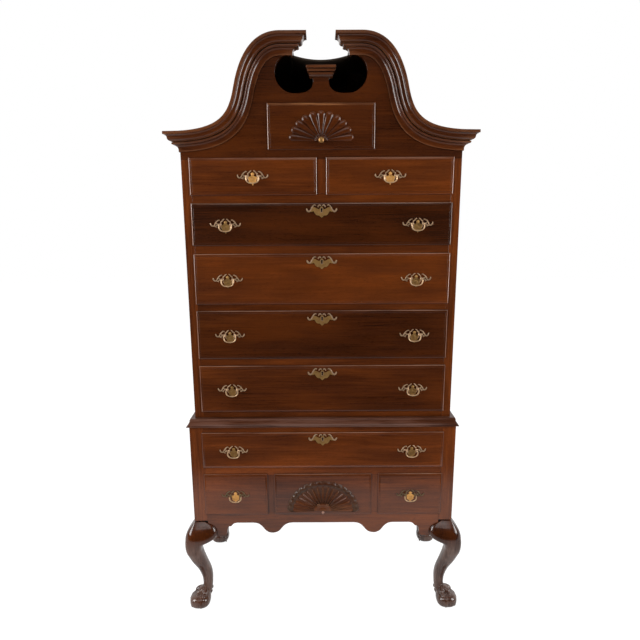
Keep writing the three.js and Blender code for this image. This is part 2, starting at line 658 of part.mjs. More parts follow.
// A lipped drawer: front, sides, back and bottom, made at its closed place
function drawer({ x0, x1, z, height, face, extras = [] }) {
  const opening = [x0 + LIP_OVERLAP, x1 - LIP_OVERLAP];
  const [floor, ceiling] = [z + LIP_OVERLAP, z + height - LIP_OVERLAP];
  const lipRing = (y, inset) => [
    [x0 + inset, y, z + inset], [x1 - inset, y, z + inset],
    [x1 - inset, y, z + height - inset], [x0 + inset, y, z + height - inset]];
  const lip = loft([
    lipRing(face - JOINT_GAP, 0),
    lipRing(face - LIP_EDGE, 0),
    lipRing(face - LIP_THICKNESS, LIP_BEVEL),
  ], [[0, 0], [1, 0], [1, 1], [0, 1]]);
  const [bx0, bx1] = [opening[0] + DRAWER_PLAY, opening[1] - DRAWER_PLAY];
  const length = backInside - JOINT_GAP - BACK_PLAY;
  const body = block(bx0, bx1, face - OVERLAP, length, floor + DRAWER_LIFT, ceiling - DRAWER_PLAY);
  const hollow = block(bx0 + DRAWER_SIDE, bx1 - DRAWER_SIDE, face + FRONT_THICKNESS,
    length - DRAWER_SIDE, floor + DRAWER_LIFT + DRAWER_BOTTOM, ceiling + OVERRUN);
  const drop = block(bx0 - OVERRUN, bx1 + OVERRUN, face + FRONT_THICKNESS, length + OVERRUN,
    ceiling - SIDE_DROP, ceiling + OVERRUN);
  return joined([cut(body, [hollow, drop]), lip, ...extras]);
}

// The scalloped fan of a carved shell, standing proud of the drawer front
function shellFan(radius, rise, z, lobes, face) {
  const steps = lobes * LOBE_STEPS;
  const points = Array.from({ length: steps + 1 }, (_, i) => {
    const angle = (i / steps) * Math.PI;
    const dip = 1 - LOBE_DEPTH_SHARE * Math.cos((i / LOBE_STEPS) * Math.PI) ** 2;
    return [Math.cos(angle) * radius * dip, z + Math.sin(angle) * rise * dip];
  });
  const front = face - LIP_THICKNESS;
  return extrudeFront(points, front - SHELL_RELIEF, front + OVERLAP);
}

function knob(radius, length, sides) {
  const profile = KNOB_SHARES.map(([r, h]) => new THREE.Vector2(r * radius, h * length));
  return new THREE.LatheGeometry(profile, sides).rotateX(Math.PI);
}

function pullPlate() {
  const half = [
    ...PLATE_TOP_SHARES.map(([x, z]) => [x * PLATE_HALF, z * PLATE_RISE]),
    ...PLATE_FOOT_SHARES.map(([x, z]) => [x * PLATE_HALF, -z * PLATE_FALL]),
  ];
  const plate = extrudeFront(mirrored(half), -PLATE_THICKNESS, 0);
  const pivot = -PLATE_THICKNESS - STANDOFF;
  const posts = [-1, 1].flatMap((side) => {
    const x0 = (side * POST_SPACING) / 2 - POST_WIDTH / 2;
    const ringAt = (radius, grow) => extrudeSide(
      circlePoints(EYE_SIDES).map(([c, s]) => [pivot + c * radius, s * radius]),
      x0 - grow, x0 + POST_WIDTH + grow);
    const stem = block(x0, x0 + POST_WIDTH, pivot + EYE_RADIUS, -PLATE_THICKNESS + OVERLAP,
      -STEM / 2, STEM / 2);
    return [{ add: [ringAt(POST_RADIUS, 0), stem], remove: ringAt(EYE_RADIUS, OVERRUN) }];
  });
  const whole = joined([plate, ...posts.flatMap((post) => post.add)]);
  return cut(whole, posts.map((post) => post.remove));
}

function bail() {
  const pinEnd = POST_SPACING / 2 - POST_WIDTH / 2 - JOINT_GAP;
  const right = [
    [pinEnd, 0, PIN_RADIUS],
    ...BAIL_SHARES.map(([x, z, r]) => [x * BAIL_HALF, -z * BAIL_DROP, r * BAIL_RADIUS]),
  ];
  const left = right.slice(0, -1).map(([x, z, r]) => [-x, z, r]);
  return rod([...left, ...right.reverse()], BAIL_SIDES);
}

// Assembly
const highboy = new THREE.Group();
const plateShape = cleaned(pullPlate());
const bailShape = cleaned(bail());

function add(name, geometry, material, x = 0, y = 0, z = 0) {
  const mesh = new THREE.Mesh(cleaned(geometry), material);
  mesh.geometry.computeVertexNormals();
  mesh.name = name;
  mesh.position.set(x, y, z);
  highboy.add(mesh);
}

add('upper_frame', upperFrame(), MAHOGANY);
add('upper_left_side', upperSide(-1), MAHOGANY);
add('upper_right_side', upperSide(1), MAHOGANY);
add('upper_back', upperBack(), POPLAR);
add('tympanum', tympanum(), MAHOGANY);
add('scroll_moulding_left', scrollMoulding(-1), MAHOGANY);
add('scroll_moulding_right', scrollMoulding(1), MAHOGANY);
add('cornice_left', corniceReturn(-1), MAHOGANY);
add('cornice_right', corniceReturn(1), MAHOGANY);
add('bonnet_roof_left', bonnetRoof(-1), POPLAR);
add('bonnet_roof_right', bonnetRoof(1), POPLAR);
add('waist_moulding', waistMoulding(), MAHOGANY);
add('lower_frame', lowerFrame(), MAHOGANY);
add('lower_left_side', lowerSide(-1), MAHOGANY);
add('lower_right_side', lowerSide(1), MAHOGANY);
add('lower_back', lowerBack(), POPLAR);
add('front_left_leg', leg(-1, false), MAHOGANY);
add('front_right_leg', leg(1, false), MAHOGANY);
add('back_left_leg', leg(-1, true), MAHOGANY);
add('back_right_leg', leg(1, true), MAHOGANY);

const longX = upperOpening + LIP_OVERLAP;
const lowerX = lowerOpening + LIP_OVERLAP;
const smallX = TOP_DIVIDER / 2 - LIP_OVERLAP;
const shellX = SHELL_DRAWER_WIDTH / 2;
const lowerShellX = LOWER_SHELL_WIDTH / 2;
const lowerSmallX = lowerShellX - LIP_OVERLAP + LOWER_DIVIDER - LIP_OVERLAP;
const upperFan = shellFan(SHELL_RADIUS, SHELL_RISE, shellZ + SHELL_FOOT, SHELL_LOBES, upperFront);
const lowerFan = shellFan(
  LOWER_SHELL_RADIUS, LOWER_SHELL_RISE, lowerSmallZ + LOWER_SHELL_FOOT, LOWER_SHELL_LOBES, 0);
const button = knob(SHELL_BUTTON_RADIUS, SHELL_BUTTON_LENGTH, EYE_SIDES)
  .translate(0, OVERLAP - LIP_THICKNESS - SHELL_RELIEF, lowerSmallZ + LOWER_SHELL_FOOT);

const DRAWERS = [
  { name: 'shell_drawer', x0: -shellX, x1: shellX, z: shellZ, height: SHELL_HEIGHT,
    face: upperFront, pulls: [], extras: [upperFan] },
  { name: 'small_drawer_left', x0: -longX, x1: -smallX, z: smallZ, height: SMALL_HEIGHT,
    face: upperFront, pulls: [['', -SMALL_PULL_X]] },
  { name: 'small_drawer_right', x0: smallX, x1: longX, z: smallZ, height: SMALL_HEIGHT,
    face: upperFront, pulls: [['', SMALL_PULL_X]] },
  ...[[1, row1Z, ROW_1_HEIGHT], [2, row2Z, ROW_2_HEIGHT], [3, row3Z, ROW_3_HEIGHT],
    [4, row4Z, ROW_4_HEIGHT]].map(([row, z, height]) => ({
    name: `long_drawer_${row}`, x0: -longX, x1: longX, z, height, face: upperFront,
    pulls: [['_left', -PULL_X], ['_right', PULL_X]] })),
  { name: 'lower_long_drawer', x0: -lowerX, x1: lowerX, z: lowerLongZ, height: LOWER_LONG_HEIGHT,
    face: 0, pulls: [['_left', -PULL_X], ['_right', PULL_X]] },
  { name: 'lower_small_drawer_left', x0: -lowerX, x1: -lowerSmallX, z: lowerSmallZ,
    height: LOWER_SMALL_HEIGHT, face: 0, pulls: [['', -PULL_X]] },
  { name: 'lower_small_drawer_right', x0: lowerSmallX, x1: lowerX, z: lowerSmallZ,
    height: LOWER_SMALL_HEIGHT, face: 0, pulls: [['', PULL_X]] },
  { name: 'lower_shell_drawer', x0: -lowerShellX, x1: lowerShellX, z: lowerSmallZ,
    height: LOWER_SMALL_HEIGHT, face: 0, pulls: [], extras: [lowerFan, button] },
];

DRAWERS.forEach((spec) => {
  add(spec.name, drawer(spec), MAHOGANY);
  const front = spec.face - LIP_THICKNESS - JOINT_GAP;
  spec.pulls.forEach(([suffix, x]) => {
    const z = spec.z + spec.height / 2;
    add(`${spec.name}${suffix}_plate`, plateShape, BRASS, x, front, z);
    add(`${spec.name}${suffix}_bail`, bailShape, BRASS, x, front - PLATE_THICKNESS - STANDOFF, z);
  });
});

add('shell_drawer_knob', knob(KNOB_RADIUS, KNOB_LENGTH, KNOB_SIDES), BRASS,
  0, upperFront - LIP_THICKNESS - SHELL_RELIEF - JOINT_GAP, shellZ + SHELL_FOOT);

// The origin is midway between the front and the back, on the floor
const bounds = new THREE.Box3().setFromObject(highboy);
highboy.position.y = -(bounds.min.y + bounds.max.y) / 2;
highboy.updateMatrixWorld(true);

export default highboy;
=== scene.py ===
import math

import bmesh
import bpy
from mathutils import Matrix, Vector, geometry

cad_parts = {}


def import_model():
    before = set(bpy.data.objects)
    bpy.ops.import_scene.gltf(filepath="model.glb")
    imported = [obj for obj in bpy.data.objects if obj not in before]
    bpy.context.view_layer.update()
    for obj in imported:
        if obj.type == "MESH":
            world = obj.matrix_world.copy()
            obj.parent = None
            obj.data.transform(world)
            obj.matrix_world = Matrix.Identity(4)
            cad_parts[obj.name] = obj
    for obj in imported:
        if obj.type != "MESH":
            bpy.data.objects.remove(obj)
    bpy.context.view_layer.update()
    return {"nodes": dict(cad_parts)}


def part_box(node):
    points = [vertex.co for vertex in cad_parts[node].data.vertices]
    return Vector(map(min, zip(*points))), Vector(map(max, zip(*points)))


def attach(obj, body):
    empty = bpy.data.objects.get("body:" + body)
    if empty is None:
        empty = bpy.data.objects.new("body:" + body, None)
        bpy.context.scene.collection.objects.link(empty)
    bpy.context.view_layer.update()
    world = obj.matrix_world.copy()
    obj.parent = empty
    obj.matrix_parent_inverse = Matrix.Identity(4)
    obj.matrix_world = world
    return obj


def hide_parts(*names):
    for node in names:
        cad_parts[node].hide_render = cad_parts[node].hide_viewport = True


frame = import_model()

# Bonnet-top highboy: the finish of every surface, the carving, the mouldings and the brasses.
# Metres, +Z up, the drawers open towards -Y, the origin is on the floor.

# Places taken from the frame
UPPER_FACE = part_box("upper_frame")[0].y
LOWER_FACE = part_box("lower_frame")[0].y
CASE_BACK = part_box("lower_back")[1].y
BACK_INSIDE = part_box("lower_back")[0].y
UPPER_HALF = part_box("upper_frame")[1].x
LOWER_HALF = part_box("lower_right_side")[1].x
UPPER_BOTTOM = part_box("upper_frame")[0].z
UPPER_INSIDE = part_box("upper_left_side")[0].y
LOWER_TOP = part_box("lower_frame")[1].z
LEG_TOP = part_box("lower_back")[0].z
TYMPANUM_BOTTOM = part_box("tympanum")[0].z
CORNICE_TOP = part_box("cornice_left")[1].z
SCROLL_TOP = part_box("scroll_moulding_left")[1].z
MOULDING_HEIGHT = CORNICE_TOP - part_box("cornice_left")[0].z
MOULDING_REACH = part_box("scroll_moulding_right")[1].x - UPPER_HALF
WAIST_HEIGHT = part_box("waist_moulding")[1].z - LOWER_TOP
WAIST_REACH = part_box("waist_moulding")[1].x - UPPER_HALF

# Fit and edges
GAP = 0.0003
EDGE = 0.0007
SMALL_EDGE = 0.0004
BEVEL_SEGMENTS = 2
BEVEL_ANGLE = 38
# Angles over which an edge is sharp, in degrees
SHARP = 35
MOULDING_SHARP = 28
CAST_SHARP = 40
ROUND_SHARP = 60

# Boards
FRONT_BOARD = 0.020
BOARD = 0.022
DUST_BOARD = 0.012
GUIDE_HEIGHT = 0.026
GUIDE_WIDTH = 0.014
PARTITION = 0.012
TOP_DIVIDER = 0.044
LOWER_DIVIDER = 0.038
LEG_POST = 0.052
BOARD_INSET = 0.004
ROOF = 0.006
PLANK = 0.046
GROOVE = 0.0012
BACK_PLANK = 0.155
BACK_SKIN = 0.003
PLANK_GAP = 0.0012
NAIL_RADIUS = 0.0032
NAIL_RISE = 0.0012
NAIL_SIDES = 10
NAIL_SHARES = [(1, 0), (0.8, 0.6), (0.35, 1), (0.0625, 1.05)]
NAIL_INSET = 0.025
LOWER_NAIL_INSET = 0.03
LOWER_NAIL_PLACES = (0.02, 0.25)
BACK_STEPS = 80
BACK_HEAD_STEPS = 14
VALLEY_STEPS = 12

# Drawers
LIP_OVERLAP = 0.006
LIP_THICKNESS = 0.007
LIP_EDGE = 0.0022
LIP_GAP = 0.0013
LIT_LIP_RINGS = 4
THUMB_WIDTH = 0.0085
THUMB_STEP = 0.0011
FRONT_THICKNESS = 0.013
DRAWER_PLAY = 0.0015
DRAWER_LIFT = 0.0005
DRAWER_SIDE = 0.010
DRAWER_BOTTOM = 0.008
SIDE_DROP = 0.006
TAIL_PITCH = 0.034
TAIL_DEPTH = 0.0095
TAIL_WIDE_SHARE = 0.36
TAIL_NARROW_SHARE = 0.24
THUMB_STEPS = 6
FIRST_DRAWER_SEED = 70

# Pediment
SCROLL_FLAT = 0.133
SCROLL_SHOULDER = 0.2875
SCROLL_FOOT = 0.517
SHOULDER_SHARE = 0.455
SHOULDER_SLOPE = (0.22, -1)
# Reach of the curve's handles in heights of the scroll, from the top to the foot
HANDLE_SHARES = (0.298, 0.305, 0.29, 0.61)
SCROLL_END = 0.0985
RETURN_SHARE = 1.14
VALLEY_DROP = 0.0535
VALLEY_SAG = 0.0160
CIRCLE_RADIUS = 0.065
CIRCLE_DROP = 0.114
CIRCLE_X = 0.0905
CIRCLE_START = 270
CIRCLE_END = 443
PLINTH_DROP = 0.096
PLINTH_HALF = 0.0495
PLINTH_HEIGHT = 0.034
PLINTH_REACH = 0.020

# Lower case
APRON_DROP = 0.059
SIDE_BRACKET = 0.046
BALL_RADIUS = 0.0405
BALL_HEIGHT = 0.027
POST_FOOT_SHARE = 1.025
FOOT_INSET = 0.005
LEG_VOXEL = 0.0013
LEG_SMOOTHING = 8

# Brasses
PLATE_HALF = 0.0525
PLATE_THICKNESS = 0.0022
SCROLL_RISE_SHARE = 0.62
SCROLL_STEPS = 3
SCROLL_SIDES = 8
SHIELD_BOSS_RADIUS = 0.0062
SHIELD_BOSS_RISE = 0.0017
POST_SPACING = 0.037
STANDOFF = 0.010
POST_RADIUS = 0.0037
POST_LENGTH = 0.0148
BAIL_HALF = 0.0220
BAIL_DROP = 0.0232
BAIL_RADIUS = 0.0020
ESCUTCHEON_BELOW_TOP = 0.029
ESCUTCHEON_RISE = {"long_drawer_1": 0.004, "lower_long_drawer": 0.005}
KEYHOLE_RADIUS = 0.0034
KEYHOLE_SLOT = 0.0025
KEYHOLE_LENGTH = 0.0102
KEYHOLE_RISE = 0.0036
KEYHOLE_RIM = 0.0016
KEYHOLE_RIM_RISE = 0.0010
KNOB_RADIUS = 0.0096
KNOB_LENGTH = 0.0215
LOWER_KNOB_RADIUS = 0.0056
LOWER_KNOB_LENGTH = 0.014
LOWER_KNOB_DROP = 0.002

# Carved shells
SHELL_RADIUS = 0.111
SHELL_RISE = 0.097
SHELL_FOOT = 0.028
LOWER_SHELL_RADIUS = 0.140
LOWER_SHELL_RISE = 0.127
LOWER_SHELL_FOOT = 0.017
SHELL_RELIEF = 0.0085
SHELL_SINK = 0.001
LOBE_STEPS = 14
SHELL_ROWS = 36
SCALLOP_SHARES = {False: 0.10, True: 0.030}
RIM_SLANT = 0.9
RIM_START_SHARE = 0.84
SCALLOP_POWER = 1.5
RIM_ROW = 30
CURL_X = 0.0180
CURL_Z = 0.0250
CURL_RADIUS = 0.0058
CURL_PROUD = 0.0046
CURL_START = 200
CURL_SWEEP = 500
CURL_TIGHTENING_SHARE = 0.80
CURL_STEPS = 40
CURL_SIDES = 8
CURL_LINE_RADII = (0.0021, 0.0016)
SHELL_LOBES = 11
LOWER_SHELL_LOBES = 16

# Camera, found from the photograph: place, turn in degrees and focal length in widths of the picture
CAMERA_PLACE = (-0.0074, -1.9940, 1.5332)
CAMERA_YAW = -0.01
CAMERA_PITCH = -11.145
CAMERA_ROLL = 0.31
FOCAL_SHARE = 500.2 / 640

# Floor: corners, colour, glow to the camera and its share, and where and how far the part that
# shows in the gloss fades out in front
FLOOR_CORNERS = [(-9, -7, 0), (9, -7, 0), (9, 11, 0), (-9, 11, 0)]
FLOOR_COLOUR = (0.86, 0.86, 0.86, 1)
WHITE = (1, 1, 1, 1)
SEEN_GLOW = 1.27
GLOW_SHARE = 0.74
MIRRORED_GLOW = 0.60
PAPER_FRONT = -1.07
PAPER_FADE = 0.30
# The room's light from front to back: first and last direction, first and last strength
ROOM_LIGHT = (-0.1, 0.6, 0.01, 1.0)
# Lamps: name, place, target, width, height, power
MIDDLE = (0, 0, 1.1)
LAMPS = [
    ("left_softbox", (-2.35, -1.35, 1.85), MIDDLE, 1.2, 1.9, 65),
    ("right_softbox", (2.40, -1.30, 1.80), MIDDLE, 1.2, 1.9, 59),
    ("top_softbox", (0.0, -3.13, 4.46), (0, -0.26, 0.36), 3.2, 2.3, 38)]

# Steps of the curves
CURVE_STEPS = 26
NECK_STEPS = 5
APRON_STEPS = 4
BRACKET_STEPS = 3
ARC_STEPS = 8
CIRCLE_STEPS = 72
LEG_SIDES = 40
PILLOW_ROWS = 18
PILLOW_SIDES = 32
TALON_STEPS = 4
ROD_SIDES = 14
BAIL_STEPS = 5
KNOB_STEPS = 3
KNOB_SIDES = 28
KEYHOLE_STEPS = 18
LEG_RINGS = 4
LATHE_SIDES = 32
ROUND_SIDES = 20
FINE = 1000


# Small geometry

def arc(cx, cy, rx, ry, start, end, steps):
    """Points on an ellipse between two angles in degrees."""
    angles = [math.radians(start + (end - start) * i / steps) for i in range(steps + 1)]
    return [(cx + rx * math.cos(a), cy + ry * math.sin(a)) for a in angles]


def bezier(a, b, c, d, steps, first=0):
    """Points and tangents on a cubic curve."""
    found = []
    for i in range(first, steps + 1):
        t = i / steps
        s = 1 - t
        point = a * s**3 + b * 3 * s * s * t + c * 3 * s * t * t + d * t**3
        slope = (b - a) * 3 * s * s + (c - b) * 6 * s * t + (d - c) * 3 * t * t
        found.append((point, slope.normalized()))
    return found


def spline(points, steps, closed=False):
    """A smooth line through the points, each a tuple of any length."""
    count = len(points)
    spans = count if closed else count - 1
    line = []
    for i in range(spans):
        def at(k):
            index = (i + k) % count if closed else min(max(i + k, 0), count - 1)
            return Vector(points[index])
        p0, p1, p2, p3 = at(-1), at(0), at(1), at(2)
        for step in range(steps):
            t = step / steps
            line.append(tuple(0.5 * (
                p1 * 2 + (p2 - p0) * t + (p0 * 2 - p1 * 5 + p2 * 4 - p3) * t**2
                + (p1 * 3 - p0 - p2 * 3 + p3) * t**3)))
    if not closed:
        line.append(tuple(points[-1]))
    return line


def mirrored(points):
    """The right half of an outline, from top to bottom, with its left half before it."""
    left = [(-x, z) for x, z in reversed(points) if x > 1e-6]
    return left + list(points)


class Shape:
    """Points and faces of one piece, with a material number for each face."""

    def __init__(self):
        self.points = []
        self.faces = []
        self.slots = []

    def add(self, points, faces, slot=0):
        start = len(self.points)
        self.points.extend(tuple(p) for p in points)
        self.faces.extend([start + i for i in face] for face in faces)
        self.slots.extend([slot] * len(faces))

    def box(self, x0, x1, y0, y1, z0, z1, slot=0):
        points = [(x, y, z) for x in (x0, x1) for y in (y0, y1) for z in (z0, z1)]
        faces = [(0, 1, 3, 2), (4, 6, 7, 5), (0, 4, 5, 1), (2, 3, 7, 6), (0, 2, 6, 4), (1, 5, 7, 3)]
        self.add(points, faces, slot)

    def boxes(self, x0, x1, y0, y1, z0, z1, slot=0):
        """The same board on the right and on the left."""
        self.box(x0, x1, y0, y1, z0, z1, slot)
        self.box(-x1, -x0, y0, y1, z0, z1, slot)

    def loft(self, rings, slot=0, closed=True, caps=True):
        """Skins a row of rings. closed joins each ring's last point to its first."""
        count = len(rings[0])
        faces = []
        for r in range(len(rings) - 1):
            for i in range(count if closed else count - 1):
                j = (i + 1) % count
                a, b = r * count, (r + 1) * count
                faces.append((a + i, a + j, b + j, b + i))
        if caps:
            last = (len(rings) - 1) * count
            faces.append(tuple(reversed(range(count))))
            faces.append(tuple(last + i for i in range(count)))
        self.add([p for ring in rings for p in ring], faces, slot)

    def prism(self, outline, near, far, place, holes=(), slot=0):
        """Extrudes an outline with holes. place(a, b, depth) gives a point of the frame."""
        loops = [list(outline), *[list(hole) for hole in holes]]
        flat = [p for loop in loops for p in loop]
        count = len(flat)
        points = [place(a, b, near) for a, b in flat] + [place(a, b, far) for a, b in flat]
        if holes:
            vectors = [[Vector((a, b, 0)) * FINE for a, b in loop] for loop in loops]
            caps = [tuple(t) for t in geometry.tessellate_polygon(vectors)]
        else:
            caps = [tuple(range(count))]
        faces = list(caps) + [tuple(count + i for i in reversed(cap)) for cap in caps]
        start = 0
        for loop in loops:
            size = len(loop)
            for i in range(size):
                a, b = start + i, start + (i + 1) % size
                faces.append((a, b, count + b, count + a))
            start += size
        self.add(points, faces, slot)

    def lathe(self, profile, place, sides=LATHE_SIDES, slot=0):
        """Turns a profile of radius and height. place(a, b, height) gives a point of the frame."""
        turn = [2 * math.pi * i / sides for i in range(sides)]
        rings = [[place(r * math.cos(a), r * math.sin(a), h) for a in turn] for r, h in profile]
        self.loft(rings, slot)

    def tube(self, path, radii, sides, slot=0, flat=(1, 1), side=None):
        """A rod along points of the frame, each with its own radius; flat squeezes it."""
        path = [Vector(p) for p in path]
        rings = []
        for i, point in enumerate(path):
            ahead = path[min(i + 1, len(path) - 1)] - path[max(i - 1, 0)]
            ahead.normalize()
            if side is None:
                side = ahead.orthogonal().normalized()
            side = (side - ahead * side.dot(ahead)).normalized()
            across = ahead.cross(side)
            rings.append([
                tuple(point + side * (math.cos(a) * radii[i] * flat[0])
                      + across * (math.sin(a) * radii[i] * flat[1]))
                for a in (2 * math.pi * k / sides for k in range(sides))])
        self.loft(rings, slot)

    def mesh(self, name, sharp=SHARP):
        mesh = bpy.data.meshes.new(name)
        mesh.from_pydata(self.points, [], self.faces)
        mesh.polygons.foreach_set("material_index", self.slots)
        work = bmesh.new()
        work.from_mesh(mesh)
        bmesh.ops.recalc_face_normals(work, faces=work.faces)
        limit = math.radians(sharp)
        for edge in work.edges:
            edge.smooth = edge.calc_face_angle(0) < limit
        for face in work.faces:
            face.smooth = True
        work.to_mesh(mesh)
        work.free()
        return mesh

    def make(self, name, body, materials, slot, stands_for=(), bevel=0.0, sharp=SHARP):
        return piece(name, self.mesh(name, sharp), body, materials, stands_for, bevel)


def placed(name, data):
    """An object of the data in the scene."""
    made = bpy.data.objects.new(name, data)
    bpy.context.scene.collection.objects.link(made)
    return made


def piece(name, mesh, body, materials, stands_for=(), bevel=0.0):
    """An object of the mesh that rides on a body and takes its finish from a slot."""
    made = placed(name, mesh)
    for material in materials:
        mesh.materials.append(material)
    if bevel:
        soften(made, bevel)
    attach(made, body)
    if stands_for:
        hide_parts(*stands_for)
    return made


def soften(made, width):
    """Rounds the sharp edges of a piece."""
    bevel = made.modifiers.new("edges", "BEVEL")
    bevel.width = width
    bevel.segments = BEVEL_SEGMENTS
    bevel.limit_method = "ANGLE"
    bevel.angle_limit = math.radians(BEVEL_ANGLE)
    bevel.use_clamp_overlap = True
    made.modifiers.new("normals", "WEIGHTED_NORMAL").keep_sharp = True


def front_place(a, b, depth):
    return (a, depth, b)


def side_place(a, b, depth):
    return (depth, a, b)


# Materials

# Colours of the mahogany, linear, and places of its tones on a ramp
MAHOGANY_STOPS = [
    (0.33, (0.022, 0.0048, 0.0009)), (0.46, (0.046, 0.0103, 0.0018)),
    (0.56, (0.066, 0.0152, 0.0027)), (0.70, (0.112, 0.0275, 0.0048))]
MAHOGANY_WARM = (0.115, 0.0255, 0.0030)
MAHOGANY_SHADE = (0.028, 0.0066, 0.0018)
MAHOGANY_PORE = (0.012, 0.0032, 0.0012)
# Colour of the painted shade in hollows
MAHOGANY_HOLLOW_SHADE = (0.0085, 0.0034, 0.0020)
# Pale colour of rubbed edges, partly a painted highlight on ridges and tips
RUBBED_HIGHLIGHT_COLOUR = (0.21, 0.085, 0.038)
# Colours painted on the drawers' lips as light: a pale highlight on the end lips, a lit top lip
PALE_LIP_HIGHLIGHT = (0.36, 0.200, 0.140)
ORANGE_LIP_LIGHT = (0.32, 0.130, 0.045)
GRIMY_WEAR = (0.060, 0.042, 0.028)
DULL_LIP_LIGHT = (0.260, 0.140, 0.088)
SCUFF_WEAR = (0.135, 0.062, 0.042)
DUST = (0.085, 0.062, 0.042)
# Greyish colour low on the legs: dust and a painted reflection of the white floor, with the height where
# it ends and its fade
LEG_DUST_AND_REFLECTION = (0.185, 0.120, 0.095)
LEG_DUST_AND_REFLECTION_TOP = 0.315
DUST_AND_REFLECTION_FADE = 0.045
# Noises of the woods: features per metre along and across the grain, step of the seed, detail,
# roughness and distortion
MAHOGANY_NOISES = {
    "wander": (1.6, 7.0, 11, 2), "figure": (1.3, 16.0, 0, 3, 0.55, 0.3),
    "streaks": (5.0, 170.0, 1, 5, 0.6), "pores": (55.0, 1500.0, 2, 2), "patches": (2.0, 5.0, 3, 2),
    "cloud": (3.0, 19.0, 4, 3, 0.6)}
WANDER_REACH = 0.03
POPLAR_NOISES = {
    "figure": (1.4, 22.0, 0, 4, 0.6, 0.8), "streaks": (6.0, 240.0, 1, 4, 0.6),
    "stains": (3.0, 5.0, 2, 4, 0.6), "marks": (160.0, 6.0, 3, 1)}
POPLAR_STOPS = [
    (0.34, (0.115, 0.062, 0.028)), (0.5, (0.205, 0.118, 0.055)), (0.68, (0.300, 0.185, 0.092))]
POPLAR_STAIN = (0.085, 0.044, 0.021)
POPLAR_KNOT = (0.030, 0.013, 0.007)
# Colour of the painted shade in the poplar's hollows
POPLAR_HOLLOW_SHADE = (0.025, 0.014, 0.008)
KNOTS_PER_METRE = 2.6
SEED_STEPS = (3.7, 1.9, 5.3)
# How far the painted shade of a hollow reaches out of it; on brass, how far its tarnish reaches
HOLLOW_SHADE_REACH = 0.012
POPLAR_HOLLOW_SHADE_REACH = 0.02
BRASS_GRIME_REACH = 0.006
# Strength and height of the bump
MAHOGANY_BUMP = (0.22, 0.0006)
POPLAR_BUMP = (0.45, 0.0012)
BRASS_BUMP = (0.25, 0.0002)
IRON_BUMP = (0.4, 0.0004)
# Features per metre, detail and roughness of the noises on metal
BRASS_CLOUD = (95.0, 4.0, 0.6)
BRASS_SPECKS = (620.0, 3.0, 0.6)
IRON_RUST = (260.0, 5.0, 0.65)
# Strength and roughness of the varnish
GLOSSY = (1.0, 0.10)
SOFT = (0.9, 0.17)
CARVED = (0.50, 0.12)
LEG_COAT = (1.0, 0.15)
FADED = (0.35, 0.10)
BARE = (0.10, 0.30)

MADE = {}


def once(build):
    """Makes a material only once for the same values."""
    def get(*places, **named):
        key = (build, places, tuple(named.items()))
        if key not in MADE:
            MADE[key] = build(*places, **named)
        return MADE[key]
    return get


def toned(colour, tone):
    return tuple(c * tone for c in colour)


class Recipe:
    """The nodes of a material or of the world, with short calls for those that repeat."""

    def __init__(self, owner):
        owner.use_nodes = True
        self.owner = owner
        self.tree = owner.node_tree
        self.tree.nodes.clear()

    def put(self, kind, inputs, out=0, **settings):
        """One output of a node whose inputs are linked to sockets or set to values."""
        made = self.tree.nodes.new("ShaderNode" + kind)
        for key, value in settings.items():
            setattr(made, key, value)
        for key, value in inputs.items():
            if isinstance(value, bpy.types.NodeSocket):
                self.tree.links.new(value, made.inputs[key])
            else:
                made.inputs[key].default_value = value
        return made.outputs[out] if made.outputs else made

    def coords(self, kind="Object"):
        return self.put("TexCoord", {}, kind)

    def maths(self, operation, a, b):
        return self.put("Math", {0: a, 1: b}, operation=operation)

    def blend(self, a, share, b):
        """A share of one value and the rest of another."""
        return self.maths("ADD", self.maths("MULTIPLY", a, share), self.maths("MULTIPLY", b, 1 - share))

    def mix(self, factor, a, b):
        """Two colours mixed, the second given as three numbers."""
        return self.put("Mix", {0: factor, 6: a, 7: (*b, 1)}, 2, data_type="RGBA")

    def ramp(self, value, stops):
        """A colour ramp through (place, grey or colour) stops."""
        output = self.put("ValToRGB", {"Fac": value})
        elements = output.node.color_ramp.elements
        elements.remove(elements[-1])
        for i, (place, colour) in enumerate(stops):
            element = elements.new(place) if i else elements[0]
            element.position = place
            element.color = (*(colour if isinstance(colour, tuple) else (colour,) * 3), 1)
        return output

    def map_range(self, value, *ends):
        """A value moved from one range to another: first and last, then first and last."""
        names = ("From Min", "From Max", "To Min", "To Max")
        return self.put("MapRange", {"Value": value, **dict(zip(names, ends))})

    def noise(self, coords, scale, detail, rough, distortion=0.0):
        return self.put("TexNoise", {"Vector": coords, "Scale": scale, "Detail": detail,
                                     "Roughness": rough, "Distortion": distortion})

    def grained(self, coords, grain, seed, along, across, step, detail, rough=0.5, distortion=0.0):
        """Noise drawn out along the grain's axis."""
        mapped = self.put("Mapping", {
            "Vector": coords, "Scale": [along if axis == grain else across for axis in "XYZ"],
            "Location": [(seed + step) * shift for shift in SEED_STEPS]})
        return self.noise(mapped, 1.0, detail, rough, distortion)

    def hollows(self, reach, stops):
        """Where a surface lies in a hollow, through a ramp."""
        return self.ramp(self.put("AmbientOcclusion", {"Distance": reach}, "AO", samples=6), stops)

    def finish(self, colour, rough, height, bump, values):
        """The shader with its bump and further values; gives the material."""
        normal = self.put("Bump", {"Height": height, "Strength": bump[0], "Distance": bump[1]})
        shader = self.put("BsdfPrincipled", {
            "Base Color": colour, "Roughness": rough, "Normal": normal, **values})
        self.put("OutputMaterial", {0: shader})
        return self.owner


